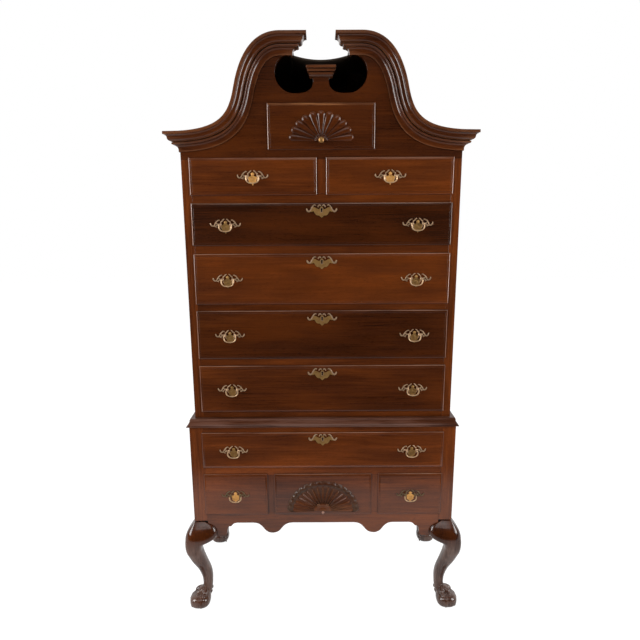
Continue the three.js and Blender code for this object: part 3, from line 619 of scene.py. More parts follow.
@once
def mahogany(grain, seed, tone=1.0, wear_and_light=0.0, wear_and_light_colour=PALE_LIP_HIGHLIGHT, varnish=GLOSSY, hollow_shade=0.8, rub_and_highlight=0.0,
             dust_and_reflection_top=None):
    """Dark red-brown mahogany under an old varnish, with grain along the named axis."""
    recipe = Recipe(bpy.data.materials.new(f"mahogany_{len(MADE)}"))
    coords = recipe.coords()

    def grained(name, place=coords):
        return recipe.grained(place, grain, seed, *MAHOGANY_NOISES[name])

    wander = recipe.maths("MULTIPLY", grained("wander"), WANDER_REACH)
    drift = recipe.put("CombineXYZ", {axis: wander for axis in "XYZ" if axis != grain})
    moved = recipe.put("VectorMath", {0: coords, 1: drift}, operation="ADD")
    figure, streaks, pores = (grained(name, moved) for name in ("figure", "streaks", "pores"))
    cloud = grained("cloud")
    colour = recipe.ramp(recipe.blend(figure, 0.5, streaks),
                         [(place, toned(c, tone)) for place, c in MAHOGANY_STOPS])
    warm = recipe.ramp(grained("patches"), [(0.44, 0.0), (0.72, 0.6)])
    colour = recipe.mix(warm, colour, toned(MAHOGANY_WARM, tone))
    shade = recipe.ramp(cloud, [(0.35, 0.4), (0.6, 0.0)])
    colour = recipe.mix(shade, colour, toned(MAHOGANY_SHADE, tone))
    colour = recipe.mix(recipe.ramp(pores, [(0.30, 0.65), (0.42, 0.0)]), colour, MAHOGANY_PORE)
    # Painted shade: darker where the surface lies in a hollow, found by ambient occlusion
    hollow_shading = recipe.hollows(HOLLOW_SHADE_REACH, [(0.30, hollow_shade), (0.80, 0.0)])
    colour = recipe.mix(hollow_shading, colour, MAHOGANY_HOLLOW_SHADE)
    # Rubbed edges and painted highlight: lighter where the surface is sharply convex, in patches
    if rub_and_highlight:
        edges = recipe.put("NewGeometry", {}, "Pointiness")
        rubbed = recipe.maths("MULTIPLY", recipe.ramp(edges, [(0.512, 0.0), (0.58, rub_and_highlight)]),
                              recipe.ramp(cloud, [(0.35, 0.25), (0.65, 1.0)]))
        colour = recipe.mix(rubbed, colour, RUBBED_HIGHLIGHT_COLOUR)
    # Patches of a second colour: wear and dust, and painted light on the drawers' lips and low on the
    # legs
    if wear_and_light:
        bare = recipe.ramp(recipe.blend(cloud, 0.6, streaks), [(0.42, wear_and_light * 0.15), (0.56, wear_and_light)])
        # Only below a height: the legs' dust and painted floor reflection
        if dust_and_reflection_top:
            height = recipe.put("SeparateXYZ", {0: coords}, "Z")
            low = recipe.map_range(height, dust_and_reflection_top - DUST_AND_REFLECTION_FADE, dust_and_reflection_top, 1.0, 0.0)
            bare = recipe.maths("MULTIPLY", bare, low)
        colour = recipe.mix(bare, colour, wear_and_light_colour)
    return recipe.finish(
        colour, recipe.ramp(cloud, [(0.3, 0.42), (0.7, 0.32)]), recipe.blend(pores, 0.5, streaks),
        MAHOGANY_BUMP, {"Specular IOR Level": 0.06, "Coat Weight": varnish[0],
                        "Coat Roughness": varnish[1], "Coat IOR": 1.58})


@once
def poplar(grain, seed, tone=1.0):
    """Bare secondary wood, browned with age, with saw and plane marks across it."""
    recipe = Recipe(bpy.data.materials.new(f"poplar_{grain}_{seed}"))
    coords = recipe.coords()
    figure, streaks, stains, marks = (
        recipe.grained(coords, grain, seed, *values) for values in POPLAR_NOISES.values())
    knots = recipe.put("TexVoronoi", {"Vector": coords, "Scale": KNOTS_PER_METRE, "Randomness": 1.0})
    colour = recipe.ramp(recipe.blend(figure, 0.6, streaks),
                         [(place, toned(c, tone)) for place, c in POPLAR_STOPS])
    aged = recipe.ramp(stains, [(0.4, 0.55), (0.65, 0.0)])
    colour = recipe.mix(aged, colour, toned(POPLAR_STAIN, tone))
    colour = recipe.mix(recipe.ramp(knots, [(0.0, 0.85), (0.035, 0.0)]), colour, POPLAR_KNOT)
    # Painted shade: darker where the surface lies in a hollow, found by ambient occlusion
    hollow_shading = recipe.hollows(POPLAR_HOLLOW_SHADE_REACH, [(0.2, 0.75), (0.8, 0.0)])
    colour = recipe.mix(hollow_shading, colour, POPLAR_HOLLOW_SHADE)
    return recipe.finish(
        colour, recipe.ramp(stains, [(0.3, 0.7), (0.7, 0.85)]), recipe.blend(streaks, 0.6, marks),
        POPLAR_BUMP, {"Specular IOR Level": 0.3})


@once
def brass(name, bright, dark, rough, metal=0.72):
    """Old cast brass: rubbed bright where it is touched, brown in the hollows."""
    recipe = Recipe(bpy.data.materials.new(name))
    coords = recipe.coords()
    cloud = recipe.noise(coords, *BRASS_CLOUD)
    tarnish = recipe.maths("ADD", recipe.hollows(BRASS_GRIME_REACH, [(0.3, 0.75), (0.85, 0.0)]),
                           recipe.ramp(cloud, [(0.42, 0.0), (0.7, 0.55)]))
    base = recipe.put("Mix", {0: tarnish, 6: (*bright, 1), 7: (*dark, 1)}, 2, data_type="RGBA")
    return recipe.finish(
        base, recipe.ramp(cloud, [(0.3, rough), (0.7, rough + 0.2)]),
        recipe.noise(coords, *BRASS_SPECKS), BRASS_BUMP, {"Metallic": metal})


@once
def iron(name, dark, rusty):
    """Dark iron of nail heads; nearly black, it is also the painted shade in the keyholes."""
    recipe = Recipe(bpy.data.materials.new(name))
    rust = recipe.noise(recipe.coords(), *IRON_RUST)
    return recipe.finish(
        recipe.ramp(rust, [(0.4, dark), (0.65, rusty)]), recipe.ramp(rust, [(0.3, 0.55), (0.7, 0.85)]),
        rust, IRON_BUMP, {"Specular IOR Level": 0.2})


NAIL_IRON = ("iron", (0.012, 0.010, 0.009), (0.05, 0.026, 0.016))
# Near-black iron in the keyholes: painted shade
KEYHOLE_SHADE_IRON = ("lock_iron", (0.003, 0.0025, 0.002), (0.008, 0.005, 0.004))
PLATE_BRASS = brass("plate_brass", (0.58, 0.38, 0.23), (0.20, 0.115, 0.055), 0.32)
SHIELD_BRASS = brass("shield_brass", (0.42, 0.235, 0.075), (0.18, 0.095, 0.032), 0.38)
DARK_BRASS = brass("dark_brass", (0.22, 0.140, 0.070), (0.075, 0.048, 0.028), 0.42)
# Bright orange-gold brass: a painted reflection of warm light on the small drawers' shields
WARM_GLINT_BRASS = brass("gold_brass", (0.78, 0.40, 0.11), (0.50, 0.24, 0.06), 0.32, 0.25)
BAIL_BRASS = brass("bail_brass", (0.74, 0.50, 0.29), (0.32, 0.19, 0.09), 0.26)
BUTTON_BRASS = brass("button_brass", (0.44, 0.25, 0.19), (0.24, 0.13, 0.095), 0.34)
KNOB_BRASS = brass("knob_brass", (0.44, 0.23, 0.075), (0.26, 0.12, 0.04), 0.34)


# Mouldings

CROWN_SHARES = [
    (0, 0), (0.085, 0), (0.085, 0.078),
    *arc(0.30, 0.092, 0.215, 0.238, 180, 90, ARC_STEPS),
    (0.30, 0.355), (0.40, 0.355),
    *arc(0.42, 0.425, 0.085, 0.058, -90, 90, ARC_STEPS),
    (0.42, 0.505), (0.50, 0.505), (0.50, 0.525),
    *arc(0.50, 0.69, 0.25, 0.165, -90, 0, ARC_STEPS),
    *arc(1.0, 0.69, 0.25, 0.165, 180, 90, ARC_STEPS)[1:],
    (1, 0.875), (1, 1), (0, 1)]

WAIST_SHARES = [
    (0, 0), (0.93, 0), (0.985, 0.025), (1.0, 0.065), (0.975, 0.105), (0.90, 0.12), (0.87, 0.125),
    (0.80, 0.19), (0.735, 0.28), (0.68, 0.39), (0.64, 0.51), (0.615, 0.63), (0.60, 0.76),
    (0.60, 0.86), (0.565, 0.905), (0.565, 0.93), (0.545, 0.975), (0.50, 1.0), (0, 1)]


def crown():
    return [(max(p * MOULDING_REACH, GAP), h * MOULDING_HEIGHT) for p, h in CROWN_SHARES]


def scroll_edge():
    """The scroll's outer edge from the gap to the cornice: place and inward normal."""
    rise = SCROLL_TOP - CORNICE_TOP
    shoulder = Vector((SCROLL_SHOULDER, CORNICE_TOP + rise * SHOULDER_SHARE))
    slope = Vector(SHOULDER_SLOPE).normalized()
    flat = Vector((1, 0))
    start = Vector((SCROLL_FLAT, SCROLL_TOP))
    end = Vector((SCROLL_FOOT, CORNICE_TOP))
    a, b, c, d = (share * rise for share in HANDLE_SHARES)
    line = [*bezier(start, start + flat * a, shoulder - slope * b, shoulder, CURVE_STEPS),
            *bezier(shoulder, shoulder + slope * c, end - flat * d, end, CURVE_STEPS, 1)]
    return [(p.x, p.y, t.y, -t.x) for p, t in line if p.x < UPPER_HALF - GAP]


EDGE_LINE = scroll_edge()


def outline_at(inset, first_x, last_x):
    """The scroll's outline set in by a distance, from the gap to a given half width."""
    line = [(x + nx * inset, z + nz * inset) for x, z, nx, nz in EDGE_LINE]
    return [(first_x, SCROLL_TOP - inset), *[p for p in line if p[0] < last_x - GAP],
            (last_x, CORNICE_TOP - inset)]


def outline_height(x, inset):
    """Height of the scroll's outline, set in by a distance, at a given x."""
    line = outline_at(inset, 0.0, UPPER_HALF)
    for (x0, z0), (x1, z1) in zip(line, line[1:]):
        if x0 <= x <= x1 and x1 > x0:
            return z0 + (z1 - z0) * (x - x0) / (x1 - x0)
    return line[-1][1]


def valley_height(x):
    return SCROLL_TOP - VALLEY_DROP - VALLEY_SAG * (1 - (x / SCROLL_END) ** 2)


def scroll_moulding(side, name):
    profile = crown()

    def ring(place):
        return [place(p, MOULDING_HEIGHT - h) for p, h in profile]

    def gap_end(reach, y):
        return ring(lambda p, d: (side * (SCROLL_END - p * RETURN_SHARE), y - p * reach, SCROLL_TOP - d))

    rings = [gap_end(0, UPPER_FACE + FRONT_BOARD), gap_end(1, UPPER_FACE)]
    for x, z, nx, nz in EDGE_LINE:
        rings.append(ring(lambda p, d: (side * (x + nx * d), UPPER_FACE - p, z + nz * d)))
    rings.append(ring(lambda p, d: (side * (UPPER_HALF + p), UPPER_FACE - p, CORNICE_TOP - d)))
    shape = Shape()
    shape.loft(rings)
    wood = mahogany("X", 21, 1.15, varnish=SOFT, rub_and_highlight=0.5)
    shape.make(name, "case", [wood], "mahogany", [name], sharp=MOULDING_SHARP)


def cornice(side, name):
    foot = CORNICE_TOP - MOULDING_HEIGHT
    shape = Shape()
    shape.loft([[(side * (UPPER_HALF + p), y - p * out, foot + h) for p, h in crown()]
                for y, out in ((UPPER_FACE + 2 * GAP, 1), (CASE_BACK, 0))])
    shape.make(name, "case", [mahogany("Y", 22, rub_and_highlight=0.5)], "mahogany", [name], sharp=MOULDING_SHARP)


def waist_moulding():
    profile = [(max(p * WAIST_REACH, GAP), max(h * WAIST_HEIGHT, GAP)) for p, h in WAIST_SHARES]
    corners = [(-1, CASE_BACK, 0), (-1, UPPER_FACE, 1), (1, UPPER_FACE, 1), (1, CASE_BACK, 0)]
    shape = Shape()
    shape.loft([[(side * (UPPER_HALF + p), y - p * out, LOWER_TOP + h) for p, h in profile]
                for side, y, out in corners])
    wood = mahogany("X", 23, 0.8, 0.7, SCUFF_WEAR, FADED)
    shape.make("waist_moulding_shaped", "case", [wood], "mahogany", ["waist_moulding"],
               sharp=MOULDING_SHARP)


# Upper case

def row_box(name):
    """A drawer's front over its lips: x0, x1, z0, z1."""
    low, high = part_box(name)
    return low.x, high.x, low.z, high.z


# Width, reach and height of the plinth's steps
PLINTH_SHARES = [
    (0.72, 0.02, 0.0), (0.76, 0.22, 0.04), (0.80, 0.36, 0.12), (0.82, 0.44, 0.17),
    (0.82, 0.56, 0.18), (0.84, 0.60, 0.38), (0.79, 0.40, 0.40), (0.79, 0.40, 0.45),
    (0.91, 0.82, 0.47), (0.93, 0.86, 0.66), (0.88, 0.60, 0.68), (0.88, 0.60, 0.73),
    (0.98, 0.98, 0.75), (1.0, 1.0, 0.80), (1.0, 1.0, 1.0)]
# The neck under the plinth beside a round opening: half width and height in radii of the opening
NECK_SHARES = [
    (0.60, 0.06), (0.565, -0.01), (0.508, -0.088), (0.451, -0.208), (0.403, -0.388),
    (0.422, -0.568), (0.491, -0.728), (0.677, -0.888), (0.98, -0.985), (1.39, -1.0)]


def tympanum():
    circle_z = SCROLL_TOP - CIRCLE_DROP
    neck = [(x * CIRCLE_RADIUS, circle_z + z * CIRCLE_RADIUS)
            for x, z in spline(NECK_SHARES, NECK_STEPS)]
    half = [
        (0.0, neck[0][1]), *neck[:-1],
        *arc(CIRCLE_X, circle_z, CIRCLE_RADIUS, CIRCLE_RADIUS, CIRCLE_START, CIRCLE_END, CIRCLE_STEPS),
        *outline_at(BOARD_INSET, SCROLL_END, UPPER_HALF),
        (UPPER_HALF, TYMPANUM_BOTTOM)]
    x0, x1, z0, z1 = row_box("shell_drawer")
    x0, x1, z0, z1 = x0 + LIP_OVERLAP, x1 - LIP_OVERLAP, z0 + LIP_OVERLAP, z1 - LIP_OVERLAP
    hole = [(x0, z0), (x1, z0), (x1, z1), (x0, z1)]
    back = UPPER_FACE + FRONT_BOARD
    board = Shape()
    board.prism(mirrored(half), UPPER_FACE, back, front_place, [hole])
    board.make("tympanum_board", "case", [mahogany("X", 5, 0.95)], "mahogany", ["tympanum"], SMALL_EDGE)

    bottom = SCROLL_TOP - PLINTH_DROP - PLINTH_HEIGHT
    rings = []
    for wide, reach, height in PLINTH_SHARES:
        x = wide * PLINTH_HALF
        y = UPPER_FACE - reach * PLINTH_REACH
        z = bottom + height * PLINTH_HEIGHT
        rings.append([(-x, y, z), (x, y, z), (x, back, z), (-x, back, z)])
    plinth = Shape()
    plinth.loft(rings)
    plinth.make("finial_plinth", "case", [mahogany("X", 6, 1.2, rub_and_highlight=0.5)], "mahogany", (), SMALL_EDGE)


def bonnet_roof(side, name):
    """Thin boards from front to back along the scroll's outline, and the gap's side."""
    outer = outline_at(BOARD_INSET, SCROLL_END, UPPER_HALF)
    inner = outline_at(BOARD_INSET + ROOF, SCROLL_END + ROOF, UPPER_HALF)
    y0, y1 = UPPER_INSIDE, CASE_BACK
    shape = Shape()
    length = 0.0
    grooved = []
    for (x0, z0), (x1, z1) in zip(outer, outer[1:]):
        step = Vector((x1 - x0, z1 - z0))
        grooved.append((x0, z0))
        if length + step.length >= PLANK:
            along = step.normalized()
            sunk = Vector((along.y, -along.x)) * GROOVE
            middle = Vector((x0, z0)) + step / 2
            grooved += [tuple(middle - along * GROOVE), tuple(middle + sunk),
                        tuple(middle + along * GROOVE)]
            length = 0.0
        length += step.length
    grooved.append(outer[-1])
    shape.prism([(side * x, z) for x, z in grooved + inner[::-1]], y0, y1, front_place)
    wall = sorted([side * SCROLL_END, side * (SCROLL_END + ROOF)])
    shape.box(wall[0], wall[1], y0, y1, valley_height(SCROLL_END) - ROOF,
              SCROLL_TOP - BOARD_INSET - ROOF - GAP, 1)
    # The gap's side, in the second material, is near-black poplar: painted shade of the bonnet's dark
    # inside
    shape.make(f"{name}_boards", "case", [poplar("Y", 31 + side, 0.62), poplar("Y", 34, 0.15)],
               "poplar", [name])


def valley_board():
    """The sagging board between the scrolls, over the two circles."""
    places = [SCROLL_END * i / VALLEY_STEPS for i in range(VALLEY_STEPS + 1)]
    line = mirrored([(x, valley_height(x)) for x in places])
    shape = Shape()
    shape.prism([*line, *[(x, z - ROOF) for x, z in reversed(line)]], UPPER_INSIDE, CASE_BACK,
                front_place)
    # Near-black poplar: painted shade of the bonnet's dark inside, seen through the circles
    shape.make("valley_board", "case", [poplar("Y", 34, 0.15)], "poplar", (), SMALL_EDGE)


def nails(shape, places, y):
    """Low round nail heads on a board's back face, in the second material."""
    for x, z in places:
        shape.lathe([(r * NAIL_RADIUS, h * NAIL_RISE) for r, h in NAIL_SHARES],
                    lambda a, b, h: (x + a, y + h, z + b), NAIL_SIDES, 1)


def back_crest(x0, x1, steps):
    """The heads of the back boards between two places, close under the bonnet."""
    crest = []
    for k in range(steps + 1):
        x = x0 + (x1 - x0) * k / steps
        if abs(x) < SCROLL_END + ROOF:
            z = valley_height(min(abs(x), SCROLL_END)) - ROOF - GAP
        else:
            z = outline_height(abs(x), BOARD_INSET + ROOF + GAP)
        crest.append((x, z))
    return crest


def upper_back():
    """Upright boards whose heads follow the bonnet, nailed to the shelves."""
    half = UPPER_HALF - BOARD - GAP
    count = round(2 * half / BACK_PLANK)
    width = 2 * half / count
    shape = Shape()
    heads = []
    skin = BACK_INSIDE + GAP + BACK_SKIN
    crest = reversed(back_crest(-half, half, BACK_STEPS))
    shape.prism([(-half, UPPER_BOTTOM), (half, UPPER_BOTTOM), *crest], BACK_INSIDE + GAP, skin,
                front_place)
    nail_rows = [row_box(f"long_drawer_{row}")[2] for row in (1, 2, 3, 4)]
    for i in range(count):
        x0 = -half + i * width + PLANK_GAP / 2
        x1 = -half + (i + 1) * width - PLANK_GAP / 2
        crest = reversed(back_crest(x0, x1, BACK_HEAD_STEPS))
        shape.prism([(x0, UPPER_BOTTOM), (x1, UPPER_BOTTOM), *crest], skin, CASE_BACK - NAIL_RISE,
                    front_place)
        heads += [(x, z) for z in nail_rows for x in (x0 + NAIL_INSET, x1 - NAIL_INSET)]
    nails(shape, heads, CASE_BACK - NAIL_RISE)
    shape.make("upper_back_boards", "case", [poplar("Z", 41, 0.8), iron(*NAIL_IRON)], "poplar",
               ["upper_back"], SMALL_EDGE)


def upper_case():
    rows = [row_box(f"long_drawer_{i}") for i in (4, 3, 2, 1)]
    left_small = row_box("small_drawer_left")
    opening = rows[0][1] - LIP_OVERLAP
    top = TYMPANUM_BOTTOM - GAP
    y0, y1 = UPPER_FACE, UPPER_FACE + FRONT_BOARD
    face = Shape()
    face.boxes(opening, UPPER_HALF, y0, y1, UPPER_BOTTOM, top, 1)
    floors = [UPPER_BOTTOM] + [z1 - LIP_OVERLAP for _, _, _, z1 in rows]
    ceilings = [z0 + LIP_OVERLAP for _, _, z0, _ in rows] + [left_small[2] + LIP_OVERLAP]
    for low, high in zip(floors, ceilings):
        face.box(-opening + GAP, opening - GAP, y0, y1, low, high, 0)
    half_divider = TOP_DIVIDER / 2
    face.box(-half_divider, half_divider, y0, y1, ceilings[-1] + GAP, top, 1)
    woods = [mahogany("X", 7, 1.4), mahogany("Z", 8, 2.0)]
    face.make("upper_face_frame", "case", woods, "mahogany", ["upper_frame"], SMALL_EDGE)

    half = UPPER_HALF - BOARD - GAP
    inside = Shape()
    for shelf in ceilings:
        inside.box(-half, half, y1, BACK_INSIDE - GAP, shelf - DUST_BOARD, shelf)
        inside.boxes(opening, half, y1, BACK_INSIDE - GAP, shelf + GAP, shelf + GUIDE_HEIGHT)
    shell = row_box("shell_drawer")
    shelf = shell[2] + LIP_OVERLAP
    small_floor = ceilings[-1]
    inside.box(-half_divider, half_divider, y1, BACK_INSIDE - GAP, small_floor + GAP,
               small_floor + GUIDE_HEIGHT)
    inside.box(-PARTITION / 2, PARTITION / 2, y1, BACK_INSIDE - GAP, small_floor + GUIDE_HEIGHT,
               shelf - DUST_BOARD)
    inside.box(-half, half, UPPER_INSIDE, BACK_INSIDE - GAP, shelf - DUST_BOARD, shelf)
    guide = shell[1] - LIP_OVERLAP
    inside.boxes(guide, guide + BOARD, UPPER_INSIDE, BACK_INSIDE - GAP, shelf + GAP,
                 shelf + GUIDE_HEIGHT)
    inside.make("upper_shelves_and_guides", "case", [poplar("X", 42)], "poplar", (), SMALL_EDGE)

    for side, name in ((-1, "upper_left_side"), (1, "upper_right_side")):
        low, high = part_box(name)
        board = Shape()
        board.box(low.x, high.x, low.y, high.y, low.z, high.z)
        board.make(f"{name}_board", "case", [mahogany("Z", 9 + side)], "mahogany", [name], EDGE)


# Lower case

APRON_SHARES = [
    (0.0, 0.0), (0.265, 0.0), (0.300, 0.040), (0.330, 0.16), (0.353, 0.34), (0.378, 0.57),
    (0.405, 0.70), (0.440, 0.75), (0.472, 0.70), (0.500, 0.55), (0.525, 0.30), (0.550, 0.12),
    (0.575, 0.03), (0.605, 0.0), (0.745, 0.0)]
BRACKET_SHARES = [
    (0.745, 0.0), (0.775, 0.06), (0.797, 0.235), (0.802, 0.26), (0.818, 0.27), (0.826, 0.36),
    (0.834, 0.62), (0.843, 0.86), (0.865, 0.98), (0.94, 1.0)]


def apron_outline():
    opening = LOWER_HALF - LEG_POST
    half = [APRON_SHARES[0], *spline(APRON_SHARES[1:-1], APRON_STEPS), APRON_SHARES[-1],
            *spline(BRACKET_SHARES, BRACKET_STEPS)[1:]]
    return [(x * opening, LEG_TOP - d * APRON_DROP) for x, d in half]


def lower_front():
    long_row = row_box("lower_long_drawer")
    small_row = row_box("lower_small_drawer_right")
    shell_row = row_box("lower_shell_drawer")
    half = LOWER_HALF - LEG_POST - GAP
    y0, y1 = LOWER_FACE, LOWER_FACE + FRONT_BOARD
    small_floor = small_row[2] + LIP_OVERLAP
    small_ceiling = small_row[3] - LIP_OVERLAP
    long_floor = long_row[2] + LIP_OVERLAP
    long_ceiling = long_row[3] - LIP_OVERLAP
    face = Shape()
    curve = apron_outline()
    outline = [*curve, (half, LEG_TOP - APRON_DROP), (half, small_floor)]
    face.prism([*[(-x, z) for x, z in reversed(outline)], *outline], y0, y1, front_place)
    face.box(-half, half, y0, y1, small_ceiling, long_floor)
    face.box(-half, half, y0, y1, long_ceiling, LOWER_TOP)
    shell_half = shell_row[1] - LIP_OVERLAP
    face.boxes(shell_half, shell_half + LOWER_DIVIDER, y0, y1, small_floor + GAP,
               small_ceiling - GAP, 1)
    woods = [mahogany("X", 12, 2.1), mahogany("Z", 13, 2.1)]
    face.make("lower_rails_and_apron", "case", woods, "mahogany", ["lower_frame"], SMALL_EDGE)

    inside = Shape()
    reach = LOWER_HALF - BOARD - GAP
    deep = BACK_INSIDE - GAP
    side0 = LOWER_FACE + LEG_POST + GAP
    side1 = CASE_BACK - LEG_POST - GAP
    for shelf in (small_floor, long_floor, LOWER_TOP):
        inside.box(-half, half, y1, deep, shelf - DUST_BOARD, shelf)
        inside.boxes(half, reach, side0, side1, shelf - DUST_BOARD, shelf)
    opening = LOWER_HALF - LEG_POST
    inside.boxes(opening, reach, side0, side1, small_floor + GAP, small_floor + GUIDE_HEIGHT)
    inside.boxes(opening, reach, side0, side1, long_floor + GAP, long_floor + GUIDE_HEIGHT)
    inside.boxes(shell_half, shell_half + LOWER_DIVIDER, y1, deep, small_floor + GAP,
                 small_floor + GUIDE_HEIGHT)
    middle = shell_half + LOWER_DIVIDER / 2
    inside.boxes(middle - PARTITION / 2, middle + PARTITION / 2, y1, deep,
                 small_floor + GUIDE_HEIGHT, long_floor - DUST_BOARD)
    inside.make("lower_shelves_and_guides", "case", [poplar("X", 43)], "poplar", (), SMALL_EDGE)


SIDE_SHARES = [(0, 1), (0.5, 0.985), (0.68, 0.88), (0.76, 0.55), (0.80, 0.3), (0.9, 0.1), (1, 0)]


def lower_sides_and_back():
    y0 = LOWER_FACE + LEG_POST + GAP
    y1 = CASE_BACK - LEG_POST - GAP
    bracket = spline(SIDE_SHARES, APRON_STEPS)
    for side, name in ((-1, "lower_left_side"), (1, "lower_right_side")):
        low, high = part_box(name)
        front = [(y0 + s * SIDE_BRACKET, LEG_TOP - d * APRON_DROP) for s, d in bracket]
        back = [(y1 - s * SIDE_BRACKET, LEG_TOP - d * APRON_DROP) for s, d in reversed(bracket)]
        board = Shape()
        board.prism([*front, *back, (y1, LOWER_TOP), (y0, LOWER_TOP)], low.x, high.x, side_place)
        board.make(f"{name}_board", "case", [mahogany("Y", 15 + side)], "mahogany", [name], EDGE)
    low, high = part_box("lower_back")
    middle = (low.z + high.z) / 2
    boards = Shape()
    for z0, z1 in ((low.z, middle - PLANK_GAP), (middle, high.z)):
        boards.box(low.x, high.x, low.y, high.y - NAIL_RISE, z0, z1)
    rows = [z + way * LOWER_NAIL_INSET
            for z, way in ((low.z, 1), (middle, -1), (middle, 1), (high.z, -1))]
    heads = [(side * (high.x - inset), z)
             for z in rows for side in (-1, 1) for inset in LOWER_NAIL_PLACES]
    nails(boards, heads, high.y - NAIL_RISE)
    boards.make("lower_back_boards", "case", [poplar("X", 44, 0.8), iron(*NAIL_IRON)], "poplar",
                ["lower_back"], SMALL_EDGE)


# Legs

LEG_SHARES = [
    (0.93, 0.10, 0.98, 3.4), (0.89, 0.46, 0.96, 3.2), (0.864, 0.64, 0.93, 3.1),
    (0.833, 0.72, 0.86, 3.1), (0.80, 0.747, 0.74, 3.0), (0.757, 0.738, 0.58, 3.0),
    (0.715, 0.705, 0.51, 3.0), (0.672, 0.645, 0.55, 3.0), (0.635, 0.56, 0.60, 2.8),
    (0.545, 0.34, 0.745, 2.7), (0.453, 0.06, 0.90, 2.6), (0.392, -0.085, 0.985, 2.5),
    (0.345, -0.17, 1.02, 2.4), (0.309, -0.22, 1.03, 2.3), (0.27, -0.25, 1.02, 2.3),
    (0.205, -0.25, 0.99, 2.2), (0.15, -0.10, 0.92, 2.2), (0.08, 0.15, 0.55, 2.2)]
# The knee: height share, reach outwards and reach of the wing beside the post, squareness
KNEE_SHARES = [
    (1.015, 0.01, 0.72, 2.9), (1.0, 0.10, 0.97, 2.7), (0.985, 0.20, 1.19, 2.5),
    (0.968, 0.30, 1.38, 2.4), (0.945, 0.43, 1.55, 2.35), (0.914, 0.575, 1.665, 2.3),
    (0.888, 0.655, 1.690, 2.3), (0.863, 0.71, 1.660, 2.3), (0.840, 0.738, 1.560, 2.35),
    (0.820, 0.747, 1.360, 2.4), (0.805, 0.747, 1.100, 2.6), (0.790, 0.747, 0.800, 2.8),
    (0.770, 0.745, 0.56, 3.0), (0.740, 0.720, 0.42, 3.0)]
POST_REACH_SHARE = 0.98
CORE_CENTRE = (-0.016, -0.016, 0.046)
CORE_RADII = (0.027, 0.027, 0.031)
BALL_SQUARENESS = 2.6
# A talon: distance from the foot's axis, height, radius
TALON_LINE = [
    (0.0100, 0.0690, 0.0060), (0.0185, 0.0660, 0.0084), (0.0272, 0.0585, 0.0100),
    (0.0290, 0.0510, 0.0064), (0.0308, 0.0460, 0.0060), (0.0348, 0.0400, 0.0088),
    (0.0386, 0.0325, 0.0056), (0.0396, 0.0250, 0.0045), (0.0401, 0.0170, 0.0034),
    (0.0398, 0.0110, 0.0016)]
# Each talon's turn from the corner's direction in degrees, its reach and its height
TALON_SHARES = [(-50, 1, 1), (0, 1.02, 1), (58, 1, 1), (180, 1.12, 0.9)]
TALON_TOP = 0.083
CORNER_TURN = 45
ANKLE_SHARE = 0.60


def squared(angle, squareness):
    bend = 2 / squareness
    c, s = math.cos(angle), math.sin(angle)
    return math.copysign(abs(c) ** bend, c), math.copysign(abs(s) ** bend, s)


def pillow(shape, centre, radii, squareness):
    """A rounded block between an ellipsoid and a box."""
    rings = []
    for i in range(1, PILLOW_ROWS):
        rise, spread = squared(math.pi * i / PILLOW_ROWS, squareness)
        ring = []
        for k in range(PILLOW_SIDES):
            c, s = squared(2 * math.pi * (k + 0.5) / PILLOW_SIDES, squareness)
            ring.append((centre[0] + radii[0] * spread * c, centre[1] + radii[1] * spread * s,
                         centre[2] + radii[2] * rise))
        rings.append(ring)
    shape.loft(rings)


def applied(made):
    """The mesh of an object with its modifiers applied; the object goes."""
    graph = bpy.context.evaluated_depsgraph_get()
    mesh = bpy.data.meshes.new_from_object(made.evaluated_get(graph))
    bpy.data.objects.remove(made)
    return mesh


def leg_mesh():
    """One leg in its own directions: x and y run outwards from the case's corner."""
    shape = Shape()
    angles = [2 * math.pi * (i + 0.5) / LEG_SIDES for i in range(LEG_SIDES)]
    rings = []
    for height, outer, inner, squareness in spline(LEG_SHARES, LEG_RINGS):
        centre = (outer - inner) / 2 * LEG_POST
        half = (outer + inner) / 2 * LEG_POST
        ring = []
        for angle in angles:
            c, s = squared(angle, squareness)
            ring.append((centre + c * half, centre + s * half, height * LEG_TOP))
        rings.append(ring)
    shape.loft(rings)
    wings = []
    for height, outer, wing, squareness in spline(KNEE_SHARES, LEG_RINGS):
        ring = []
        for angle in angles:
            c, s = squared(angle, squareness)
            ring.append((c * (outer if c > 0 else wing) * LEG_POST,
                         s * (outer if s > 0 else min(POST_REACH_SHARE, wing)) * LEG_POST,
                         height * LEG_TOP))
        wings.append(ring)
    shape.loft(wings)
    shape.loft([[(y, x, z) for x, y, z in ring] for ring in wings])
    foot = -FOOT_INSET
    pillow(shape, (foot, foot, BALL_HEIGHT), (BALL_RADIUS, BALL_RADIUS, BALL_HEIGHT),
           BALL_SQUARENESS)
    pillow(shape, CORE_CENTRE, CORE_RADII, 2)
    ankle = -ANKLE_SHARE * LEG_POST
    for turn, reach, rise in TALON_SHARES:
        angle = math.radians(CORNER_TURN + turn)
        direction = Vector((math.cos(angle), math.sin(angle), 0))
        line = spline(TALON_LINE, TALON_STEPS)
        points = []
        for distance, height, _ in line:
            lean = min(max((height - BALL_HEIGHT) / (TALON_TOP - BALL_HEIGHT), 0), 1)
            axis = foot + (ankle - foot) * lean
            points.append(Vector((axis, axis, height * rise)) + direction * distance * reach)
        shape.tube(points, [radius for _, _, radius in line], ROD_SIDES)
    rough = placed("leg_rough", shape.mesh("leg_rough"))
    remesh = rough.modifiers.new("blend", "REMESH")
    remesh.mode = "VOXEL"
    remesh.voxel_size = LEG_VOXEL
    smooth = rough.modifiers.new("smooth", "SMOOTH")
    smooth.factor = 0.5
    smooth.iterations = LEG_SMOOTHING
    fine = applied(rough)
    for vertex in fine.vertices:
        vertex.co.z = max(vertex.co.z, 0.0)
    fine.polygons.foreach_set("use_smooth", [True] * len(fine.polygons))
    return fine


